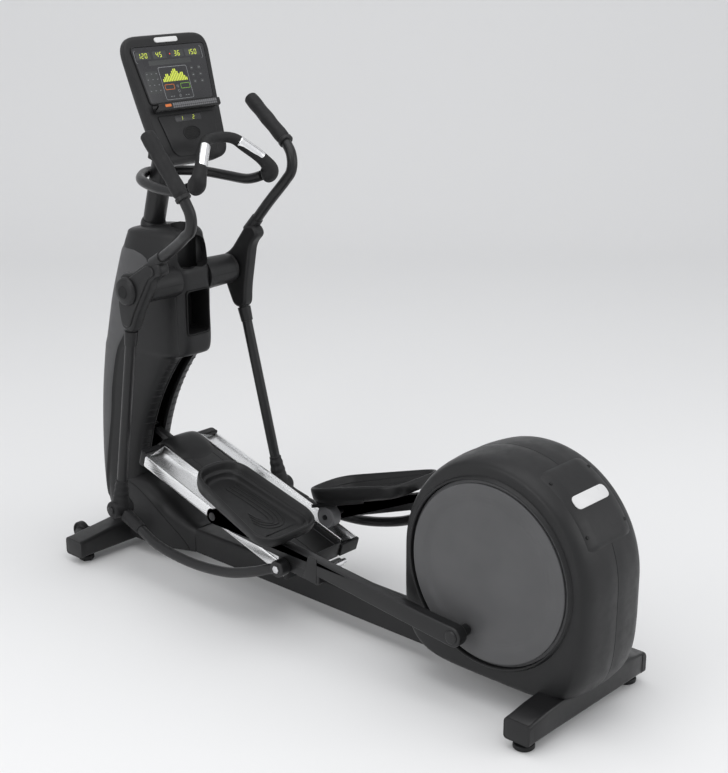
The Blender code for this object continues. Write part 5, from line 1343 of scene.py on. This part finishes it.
def make_ramp():
    """Black deck with two fine grooves and a crowned front cap, and two polished tracks with end pieces."""
    half = TRACK_INNER - 0.0006
    section = rounded_outline([(-half, -0.030), (half, -0.030), (half, 0.027), (0.046, 0.029),
                               (0.0445, 0.0275), (0.043, 0.029),
                               (-0.043, 0.029), (-0.0445, 0.0275), (-0.046, 0.029), (-half, 0.027)],
                              [0.003, 0.003, 0.004, 0.0006, 0.0006, 0.0006, 0.0006, 0.0006, 0.0006, 0.004],
                              4)
    x = np.concatenate([[-0.700, -0.699], np.linspace(-0.69, -0.060, 30), [-0.0515, -0.0505]])
    inset = np.concatenate([[0.002, 0.0006], np.zeros(30), [0.0006, 0.002]])
    rings = [np.column_stack([np.full(len(section), a), drawn_in(section, d)]) for a, d in zip(x, inset)]
    done(skin("ramp_centre", on_ramp(np.stack(rings))), "ramp_black", "ramp", "ramp_deck",
         slot="black_plastic")
    side_view = smooth([(-0.7775, -0.010), (-0.7765, 0.012), (-0.768, 0.033), (-0.748, 0.0455),
                        (-0.715, 0.0475), (-0.675, 0.041), (-0.640, 0.0315), (-0.612, 0.0275)], 40)
    share = np.linspace(-1, 1, 33)
    crown = (1 - np.abs(share) ** 5)
    top = np.stack([
        np.broadcast_to(side_view[:, :1], (40, 33)),
        np.broadcast_to((half - 0.0010) * share[None], (40, 33)),
        np.minimum(side_view[:, 1:], side_view[:,
                                               1:] - 0.008 * (1 - crown[None]) - 0.004 * share[None] ** 2),
    ], axis=-1)
    under = top.copy()
    under[..., 2] = -0.020
    cap = panel("ramp_front_cap", on_ramp(top), on_ramp(under))
    done(cap, "ramp_black", "ramp", slot="black_plastic")
    tongue = [(-0.862, -0.006), (-0.862, 0.012), (-0.740, 0.012), (-0.740, -0.015)]
    blade = slab(rounded_outline(tongue, 0.004), -0.012, 0.012, 0.001)
    done(skin("ramp_tongue", on_ramp(blade)), "gloss_black", "ramp", slot="black_paint")
    for side, word in SIDES:
        inner, outer = TRACK_INNER, TRACK_OUTER
        plan = rounded_outline(
            [(inner + 0.0004, -0.030), (inner + 0.0004, 0.0325), (inner + 0.0040, 0.0335),
             (inner + 0.0048, 0.0095), (outer - 0.0150, 0.0085),
             (outer - 0.0140, 0.0065), (outer - 0.0120, 0.0065), (outer - 0.0110, 0.0160),
             (outer - 0.0015, 0.0150), (outer, 0.0100), (outer, -0.022), (outer - 0.008, -0.030)],
            [0.001, 0.0015, 0.0015, 0.003, 0.0006, 0.0004, 0.0004, 0.003, 0.004, 0.006, 0.008, 0.004], 5)
        x = np.concatenate([[-0.7350, -0.7345], np.linspace(-0.73, -0.070, 40), [-0.0595, -0.0590]])
        inset = np.concatenate([[0.0010, 0.0003], np.zeros(40), [0.0003, 0.0010]])
        rings = [np.column_stack([np.full(len(plan), a), drawn_in(plan, d) * [side, 1]]) for a,
                 d in zip(x, inset)]
        done(skin(f"track_rail_{word}", on_ramp(np.stack(rings)), 30), "polished", "ramp",
             f"ramp_track_{word}", slot="aluminium")
        ends = []
        front = rounded_outline([(-0.764, inner + 0.0006), (-0.7355, inner + 0.0006), (-0.7355, outer),
                                 (-0.764, outer)], [0.008, 0.001, 0.001, 0.024], 8)
        ends.append(slab(front * [1, side], -0.029, 0.0235, 0.005, "z", 4))
        rear = rounded_outline([(-0.0588, inner + 0.0006), (-0.046, inner + 0.0006), (-0.046, outer),
                                (-0.0588, outer)], [0.001, 0.004, 0.008, 0.001], 8)
        ends.append(slab(rear * [1, side], -0.028, 0.016, 0.003, "z", 4))
        done(skins(f"track_end_{word}", [on_ramp(grid) for grid in ends]), "charcoal", "ramp",
             slot="black_plastic")


# Rollers, arms and pedals

ROLLER = {word: np.array(JOINTS[f"roller_spin_{word}"]["pos_m"], float) * [1, 0, 1] for _side,
          word in SIDES}
PEDAL_LIFT = {-1: 0.142, 1: 0.098}  # height of each pedal above its arm
PEDAL_TILT = {-1: math.radians(7.0), 1: math.radians(1.2)}


def arm_turn(side, word):
    """Pitch of a pedal's arm at rest, from the roller to the crank pin."""
    angle = CRANK_TURN if side < 0 else CRANK_TURN + math.pi
    pin = CRANK + CRANK_THROW * np.array([math.cos(angle), 0, math.sin(angle)])
    run = pin - ROLLER[word]
    return -math.atan2(run[2], run[0]), float(np.hypot(run[0], run[2]))


def make_arm(side, word):
    """Box-section arm with a rounded heel, its crank pin, the link's bracket, and a roller on its axle."""
    turn, length = arm_turn(side, word)
    body = f"pedal_arm_{word}"
    heel = np.linspace(-np.pi / 2, np.pi / 2, 22)
    outline = np.concatenate([
        [(0.060, -0.021), (0.080, -0.0235), (length * 0.6, -0.0245)],
        np.column_stack([length + 0.030 * np.cos(heel), 0.030 * np.sin(heel)]),
        [(length * 0.9, 0.027), (length * 0.6, 0.0250), (0.080, 0.0250), (0.060, 0.0225)],
        np.column_stack([-0.002 - 0.021 * np.cos(heel[::2]), 0.021 * np.sin(heel[::2])]),
    ])
    a, b = sorted((side * 0.1835, side * 0.2185))
    arm = skin(f"arm_rail_{word}", swung(slab(outline, a, b, 0.0045, "y", 4), ROLLER[word], turn))
    done(arm, "gloss_black", body, f"pedal_arm_{word}", slot="black_paint")
    parts = [slab(rounded_outline([(0.290, -0.052), (0.460, -0.052), (0.460, -0.015), (0.290, -0.015)],
                                  0.010, 6), *sorted((side * 0.190, side * 0.2180)), 0.003)]
    parts.append(slab(rounded_outline([(0.395, -0.050), (0.452, -0.050), (0.446, 0.030), (0.412, 0.030)],
                                      0.008, 6), *sorted((side * 0.2140, side * 0.2195)), 0.0012))
    done(skins(f"arm_bracket_{word}", [swung(grid, ROLLER[word], turn) for grid in parts]), "gloss_black",
         body, slot="black_paint")
    pin = eased([(0.0, 0.1512), (0.017, 0.1512), (0.017, 0.190), (0.0, 0.190)], 0.001)
    cap = eased([(0.0, 0.2170), (0.0200, 0.2170), (0.0200, 0.2205), (0.0170, 0.2230), (0.0, 0.2240)],
                0.0012)
    grids = [swung(turned(profile, (length, 0, 0), side, 48), ROLLER[word], turn) for profile in (pin, cap)]
    done(skins(f"arm_pin_{word}", grids), "gloss_black", body, slot="black_paint")
    axle = eased([(0.0, 0.098), (0.008, 0.098), (0.008, 0.2185), (0.0135, 0.2190), (0.0135, 0.2225),
                  (0.0, 0.2235)], 0.0008)
    done(skin(f"roller_pin_{word}", turned(axle, ROLLER[word], side, 40), caps=False), "gloss_black",
         f"carriage_{word}", f"roller_axle_{word}", slot="steel")
    profile = eased([(0.0090, 0.1030), (0.026, 0.1030), (0.0285, 0.1050), (0.0325, 0.1025),
                     (0.0358, 0.1050), (0.0358, 0.1390),
                     (0.0325, 0.1415), (0.0285, 0.1390), (0.026, 0.1410), (0.0090, 0.1410)], 0.0012)
    ring = turned(profile, ROLLER[word], side, 72)
    closed = np.concatenate([ring, ring[:1]])
    done(skin(f"roller_tyre_{word}", closed, caps=False), "roller_grey", f"roller_{word}",
         f"roller_{word}", slot="grey_plastic")


def pedal_plan(inset, count=24):
    """Outline of the pedal, its outer side flaring towards the heel, drawn in by a length."""
    corners = [(-0.062, 0.088), (0.352, 0.088), (0.352, 0.336), (-0.062, 0.268)]
    base = rounded_outline(corners, [0.085, 0.075, 0.085, 0.120], count)
    return drawn_in(base, inset)


def make_pedal(side, word):
    """Foot tray: nested outlines whose heights follow the rim, ledge and bed.

    The rim is high along its sides and toe and dips at the heel's outer corner, by powers of the distances.
    """
    turn, _length = arm_turn(side, word)
    tilt = turn + PEDAL_TILT[side]
    place = swung(np.array([0.0, 0.0, PEDAL_LIFT[side]]), ROLLER[word], turn)
    body = f"pedal_arm_{word}"
    levels = [
        # drawn in, height, share of the rim's wave
        (0.060, -0.0585, 0.0), (0.026, -0.0590, 0.0), (0.014, -0.0570, 0.0), (0.006, -0.0480, 0.0),
        (0.0015, -0.034, 0.1), (0.0005, -0.012, 0.8), (0.0012, -0.004, 1.0),
        (0.0035, -0.0008, 1.0), (0.0065, 0.0, 1.0), (0.0095, -0.0010, 1.0), (0.0125, -0.0050, 1.0),
        (0.0155, -0.0170, 0.7),
        (0.0185, -0.0235, 0.5), (0.0230, -0.0250, 0.4), (0.0265, -0.0265, 0.3), (0.0290, -0.0330, 0.15),
        (0.0315, -0.0420, 0.0),
        (0.0350, -0.0462, 0.0), (0.0400, -0.0475, 0.0), (0.0450, -0.0478, 0.0), (0.060, -0.0478, 0.0),
    ]
    rings = []
    for inset, height, share in levels:
        plan = pedal_plan(inset)
        along = (plan[:, 0] - 0.145) / 0.207
        out = (plan[:, 1] - 0.205) / 0.120
        dip = 0.020 * np.clip(along, 0, 1) ** 1.5 + 0.012 * np.clip(out, 0,
                                                                    1) * (1 - np.clip(np.abs(along - 0.1),
                                                                        0, 1) ** 2)
        rings.append(np.column_stack([plan[:, 0], plan[:, 1] * side, height - share * dip]))
    tray = skin(f"pedal_tray_{word}", swung(np.stack(rings), place, tilt), 46)
    done(tray, "pedal_black", body, f"pedal_{word}", slot="rubber")
    bands = []
    for reach in (0.0, 0.016, 0.032, 0.048):
        line = [(0.020, 0.138 + reach), (0.120, 0.136 + reach), (0.215, 0.142 + reach),
                (0.262 - reach * 0.5, 0.165 + reach * 0.9),
                (0.272 - reach, 0.200 + reach * 0.3), (0.255 - reach * 1.2, 0.236 - reach * 0.25),
                (0.215 - reach, 0.250 - reach * 0.5)]
        run = smooth([(x, y * side, -0.0474) for x, y in line], 60)
        bands.append(swung(carried(run, circle((0.0030, 0.0022), 10), ALONG_Z, rounded_ends(run, 0.006)),
                           place, tilt))
    done(skins(f"pedal_ribs_{word}", bands), "pedal_black", body, slot="rubber")
    low, slope = 0.0405, math.tan(PEDAL_TILT[side])
    front, rear = -0.045, 0.200
    top = PEDAL_LIFT[side] - 0.0535
    side_view = rounded_outline([(front, top - front * slope), (front + 0.010, low), (rear - 0.020, low),
                                 (rear, top - rear * slope)], 0.006, 6)
    boss = slab(side_view, *sorted((side * 0.094, side * 0.2180)), 0.008, "y", 5)
    done(skin(f"pedal_boss_{word}", swung(boss, ROLLER[word], turn)), "pedal_black", body, slot="rubber")
    post = slab(rounded_outline([(0.060, 0.018), (0.235, 0.018), (0.225, low + 0.006),
                                 (0.070, low + 0.006)], 0.006, 4),
                *sorted((side * 0.186, side * 0.216)), 0.003)
    done(skin(f"pedal_post_{word}", swung(post, ROLLER[word], turn)), "gloss_black", body,
         slot="black_paint")


# Inner parts keep their frame meshes and get a finish of their own

INNER = {
    "gloss_black": ("main_beam", "frame_post", "drive_frame"),
    "inner_black": ("generator_housing", "drive_belt", "lift_motor"),
    "steel": ("crankshaft", "generator_rotor", "handlebar_shaft", "ramp_hinge", "lift_screw", "lift_nut"),
    "polished": ("drive_pulley",),
}


def finish_inner_parts():
    """Give the frame's own inner meshes their finishes."""
    for kind, names in INNER.items():
        for name in names:
            node = frame["nodes"][name]
            node.data.materials.clear()
            node.data.materials.append(FINISHES[kind]())


def looks():
    """The sizes and colours set in the panel."""
    return bpy.context.scene.trainer_looks


FINISHES.update({
    "charcoal": kept(lambda: moulded("charcoal plastic", looks().cover_colour, looks().cover_gloss)),
    # Horn plastic: a dark line painted at the seam height as the shade in the seam's groove.
    "charcoal_seamed": kept(lambda: moulded("horn plastic", looks().cover_colour, looks().cover_gloss,
                                            seam=SEAM)),
    "ramp_black": kept(lambda: moulded("ramp plastic", tuple(c * 0.55 for c in looks().cover_colour), 0.34,
                                       0.05)),
    "inner_black": kept(lambda: moulded("inner plastic", tuple(c * 0.4 for c in looks().cover_colour),
                                        0.55)),
    "pedal_black": kept(lambda: moulded("pedal plastic", tuple(c * 0.75 for c in looks().cover_colour),
                                        0.42, 0.16, 900.0)),
    "nose_grey": kept(lambda: moulded("light panel plastic", looks().panel_colour, 0.44, 0.08)),
    "disc_grey": kept(lambda: moulded("disc plastic", looks().disc_colour, 0.42, 0.08)),
    "roller_grey": kept(lambda: moulded("roller plastic", (0.16, 0.16, 0.165), 0.4)),
    "badge_white": kept(lambda: moulded("blank badge", (0.62, 0.62, 0.62), 0.30, 0.02)),
    "shelf_grey": kept(lambda: rubbery("shelf pad rubber", (0.13, 0.13, 0.135))),
    "soft_black": kept(lambda: rubbery("grip rubber", (0.011, 0.011, 0.0115), 0.55)),
    "boot_rubber": kept(lambda: rubbery("boot rubber", (0.010, 0.010, 0.0105), 0.50)),
    "gloss_black": kept(lambda: painted("black powder coat", (0.0085, 0.0085, 0.009), looks().paint_gloss)),
    "polished": kept(lambda: brushed("polished aluminium", (0.96, 0.963, 0.966), looks().metal_gloss, "X",
                                     0.004)),
    "steel": kept(lambda: brushed("plated steel", (0.70, 0.70, 0.71), 0.25, "Y", 0.12)),
    "chrome": kept(lambda: brushed("contact plate", (0.93, 0.93, 0.94), 0.18, "Y", 0.003)),
    "glass": kept(lambda: glassy("display glass", (0.016, 0.016, 0.018))),
    "window_grey": kept(lambda: printed("display window", (0.034, 0.036, 0.036))),
    "ink_white": kept(lambda: printed("white print", (0.32, 0.33, 0.34))),
    "key_orange": kept(lambda: printed("orange print", (0.62, 0.16, 0.03))),
    "key_green": kept(lambda: printed("green print", (0.20, 0.42, 0.05))),
    "lit_green": kept(lambda: glowing("lit segments", looks().digit_colour, looks().digit_glow)),
    "lit_red": kept(lambda: glowing("lit dot", (0.9, 0.05, 0.03), 1.2)),
})


# Stage


def make_floor():
    """Pale sweep: a floor that turns up behind the trainer along a quarter circle."""
    turn = np.linspace(0, np.pi / 2, 24)
    run = np.concatenate([[-9.0], np.linspace(-5.0, 4.9, 8), 5.0 + 2.5 * np.sin(turn), [7.5]])
    rise = np.concatenate([[0.0], np.zeros(8), 2.5 - 2.5 * np.cos(turn), [9.0]])
    away = unit(np.array([-0.68, 0.73, 0.0]))
    across = np.array([away[1], -away[0], 0.0])
    wide = np.linspace(-12, 12, 7)
    top = run[:, None, None] * away + rise[:, None, None] * ALONG_Z + wide[None, :, None] * across
    under = top - 0.02 * ALONG_Z - 0.02 * (rise > 0)[:, None, None] * -away
    floor = panel("studio_floor", top, under, 60)
    n = Nodes("studio paper")
    n.put(n.shader, "Base Color", n.mixed(n.noise(0.7), (0.80, 0.80, 0.80), (0.815, 0.815, 0.815)))
    n.shader.inputs["Roughness"].default_value = 0.95
    n.shader.inputs["Specular IOR Level"].default_value = 0.05
    floor.data.materials.append(n.made)
    return floor


def make_lamp(name, place, target, size, power, colour=(1, 1, 1)):
    """A soft square lamp that faces a target."""
    data = bpy.data.lights.new(name, "AREA")
    data.shape = "RECTANGLE"
    data.size, data.size_y = size
    data.energy = power
    data.color = colour
    lamp = bpy.data.objects.new(name, data)
    bpy.context.scene.collection.objects.link(lamp)
    lamp.location = place
    lamp.rotation_euler = (Vector(target) - Vector(place)).to_track_quat("-Z", "Y").to_euler()
    return lamp


def make_camera():
    """Camera above and behind the user's left, with a long lens."""
    data = bpy.data.cameras.new("camera")
    data.lens = 71.02
    data.sensor_width = 36
    data.clip_end = 60
    camera = bpy.data.objects.new("camera", data)
    bpy.context.scene.collection.objects.link(camera)
    place, target = Vector((2.983, -3.155, 2.13)), Vector((0.181, -0.063, 0.8))
    camera.location = place
    camera.rotation_euler = (target - place).to_track_quat("-Z", "Y").to_euler()
    bpy.context.scene.camera = camera


def light_room():
    """Even pale light from all round."""
    world = bpy.data.worlds.new("studio")
    world.use_nodes = True
    back = world.node_tree.nodes["Background"]
    back.inputs["Color"].default_value = (0.92, 0.93, 0.95, 1)
    back.inputs["Strength"].default_value = looks().room_light
    bpy.context.scene.world = world


# Panel and operators


class TrainerLooks(bpy.types.PropertyGroup):
    """Colours, gloss and light that a user would change."""

    cover_colour: FloatVectorProperty(
        name="Cover colour", description="Charcoal plastic of the tower, drive cover and console",
        subtype="COLOR", size=3, min=0, max=1, default=(0.0120, 0.0120, 0.0125))
    cover_gloss: FloatProperty(
        name="Cover roughness", description="How dull the charcoal plastic is",
        subtype="FACTOR", min=0.05, max=1, default=0.40)
    panel_colour: FloatVectorProperty(
        name="Nose panel colour", description="Lighter plastic round the tower's nose",
        subtype="COLOR", size=3, min=0, max=1, default=(0.070, 0.070, 0.072))
    disc_colour: FloatVectorProperty(
        name="Disc colour", description="Plastic of the two crank discs",
        subtype="COLOR", size=3, min=0, max=1, default=(0.078, 0.078, 0.080))
    paint_gloss: FloatProperty(
        name="Paint roughness", description="How dull the black tubes and arms are",
        subtype="FACTOR", min=0.05, max=1, default=0.34)
    metal_gloss: FloatProperty(
        name="Track roughness", description="How dull the ramp's tracks are",
        subtype="FACTOR", min=0.02, max=1, default=0.26)
    digit_colour: FloatVectorProperty(
        name="Digit colour", description="Colour of the lit digits and bars",
        subtype="COLOR", size=3, min=0, max=1, default=(0.52, 0.60, 0.06))
    digit_glow: FloatProperty(
        name="Digit glow", description="Strength of the lit digits and bars", min=0, max=10, default=0.40)
    room_light: FloatProperty(
        name="Room light", description="Strength of the even light round the trainer", min=0, max=5,
        default=0.80)
    lamp_power: FloatProperty(
        name="Lamp power", description="Power of the largest lamp", unit="POWER", min=0, max=2000,
        default=80)


class TRAINER_OT_tower(bpy.types.Operator):
    """Make the tower's covers, cup holder, bin, slot and horns"""

    bl_idname = "trainer.make_tower"
    bl_label = "Tower"

    def execute(self, context):
        make_tower_lower()
        make_tower_upper()
        make_nose_panel()
        make_back_strip()
        make_bin()
        make_slot_ribs()
        make_horns()
        make_mast()
        make_base_covers()
        return {"FINISHED"}


class TRAINER_OT_drive(bpy.types.Operator):
    """Make the rear drive covers, their cap and the crank discs"""

    bl_idname = "trainer.make_drive"
    bl_label = "Drive covers and discs"

    def execute(self, context):
        make_rear_covers()
        make_rear_cap()
        make_discs()
        return {"FINISHED"}


class TRAINER_OT_console(bpy.types.Operator):
    """Make the console, its display and shelf"""

    bl_idname = "trainer.make_console"
    bl_label = "Console"

    def execute(self, context):
        make_console_shell()
        make_console_face()
        make_shelf()
        make_display()
        return {"FINISHED"}


class TRAINER_OT_handrail(bpy.types.Operator):
    """Make the handrail, hand grips and pulse contacts"""

    bl_idname = "trainer.make_handrail"
    bl_label = "Handrail and grips"

    def execute(self, context):
        make_handrail()
        return {"FINISHED"}


class TRAINER_OT_handlebars(bpy.types.Operator):
    """Make both handlebars with their boots and links"""

    bl_idname = "trainer.make_handlebars"
    bl_label = "Handlebars and links"

    def execute(self, context):
        for side, word in SIDES:
            make_handlebar(side, word)
            make_boot(side, word)
            make_link(side, word)
        return {"FINISHED"}


class TRAINER_OT_feet(bpy.types.Operator):
    """Make the feet, pads, levellers and transport wheels"""

    bl_idname = "trainer.make_feet"
    bl_label = "Feet and wheels"

    def execute(self, context):
        make_front_foot()
        make_rear_foot()
        return {"FINISHED"}


class TRAINER_OT_ramp(bpy.types.Operator):
    """Make the ramp's deck, cap and tracks"""

    bl_idname = "trainer.make_ramp"
    bl_label = "Ramp"

    def execute(self, context):
        make_ramp()
        return {"FINISHED"}


class TRAINER_OT_pedals(bpy.types.Operator):
    """Make the rollers, pedal arms and pedals"""

    bl_idname = "trainer.make_pedals"
    bl_label = "Arms and pedals"

    def execute(self, context):
        for side, word in SIDES:
            make_arm(side, word)
            make_pedal(side, word)
        return {"FINISHED"}


class TRAINER_OT_inner(bpy.types.Operator):
    """Give the inner parts their finishes"""

    bl_idname = "trainer.finish_inner"
    bl_label = "Inner parts"

    def execute(self, context):
        finish_inner_parts()
        return {"FINISHED"}


class TRAINER_OT_stage(bpy.types.Operator):
    """Make the floor, lamps, room light and camera"""

    bl_idname = "trainer.make_stage"
    bl_label = "Stage"

    def execute(self, context):
        power = looks().lamp_power
        make_floor()
        make_lamp("lamp_over", (0.6, -0.6, 4.6), (0, 0, 0.6), (4.5, 4.5), power)
        make_lamp("lamp_left", (-0.6, -4.8, 2.6), (0, 0, 0.7), (3.2, 3.0), power * 0.75)
        make_lamp("lamp_right", (4.6, 2.2, 2.6), (0.3, 0, 0.7), (3.0, 3.0), power * 0.55)
        light_room()
        make_camera()
        context.scene.view_settings.view_transform = "Standard"
        return {"FINISHED"}


class TRAINER_PT_build(bpy.types.Panel):
    """Steps that make the trainer, with its colours and light"""

    bl_label = "Elliptical Trainer"
    bl_idname = "TRAINER_PT_build"
    bl_space_type = "VIEW_3D"
    bl_region_type = "UI"
    bl_category = "Trainer"

    def draw(self, context):
        settings = context.scene.trainer_looks
        for name in TrainerLooks.__annotations__:
            self.layout.prop(settings, name)
        for step in STEPS:
            self.layout.operator(step.bl_idname)


STEPS = (
    TRAINER_OT_tower, TRAINER_OT_drive, TRAINER_OT_console, TRAINER_OT_handrail, TRAINER_OT_handlebars,
    TRAINER_OT_feet, TRAINER_OT_ramp, TRAINER_OT_pedals, TRAINER_OT_inner, TRAINER_OT_stage,
)
CLASSES = (TrainerLooks, *STEPS, TRAINER_PT_build)


def register():
    """Register the classes and the scene's settings."""
    for kind in CLASSES:
        bpy.utils.register_class(kind)
    bpy.types.Scene.trainer_looks = PointerProperty(type=TrainerLooks)


def unregister():
    """Remove the classes and the settings."""
    del bpy.types.Scene.trainer_looks
    for kind in reversed(CLASSES):
        bpy.utils.unregister_class(kind)


def main():
    """Make every piece in order."""
    register()
    bpy.ops.trainer.make_tower()
    bpy.ops.trainer.make_drive()
    bpy.ops.trainer.make_console()
    bpy.ops.trainer.make_handrail()
    bpy.ops.trainer.make_handlebars()
    bpy.ops.trainer.make_feet()
    bpy.ops.trainer.make_ramp()
    bpy.ops.trainer.make_pedals()
    bpy.ops.trainer.finish_inner()
    bpy.ops.trainer.make_stage()


if __name__ == "__main__":
    main()
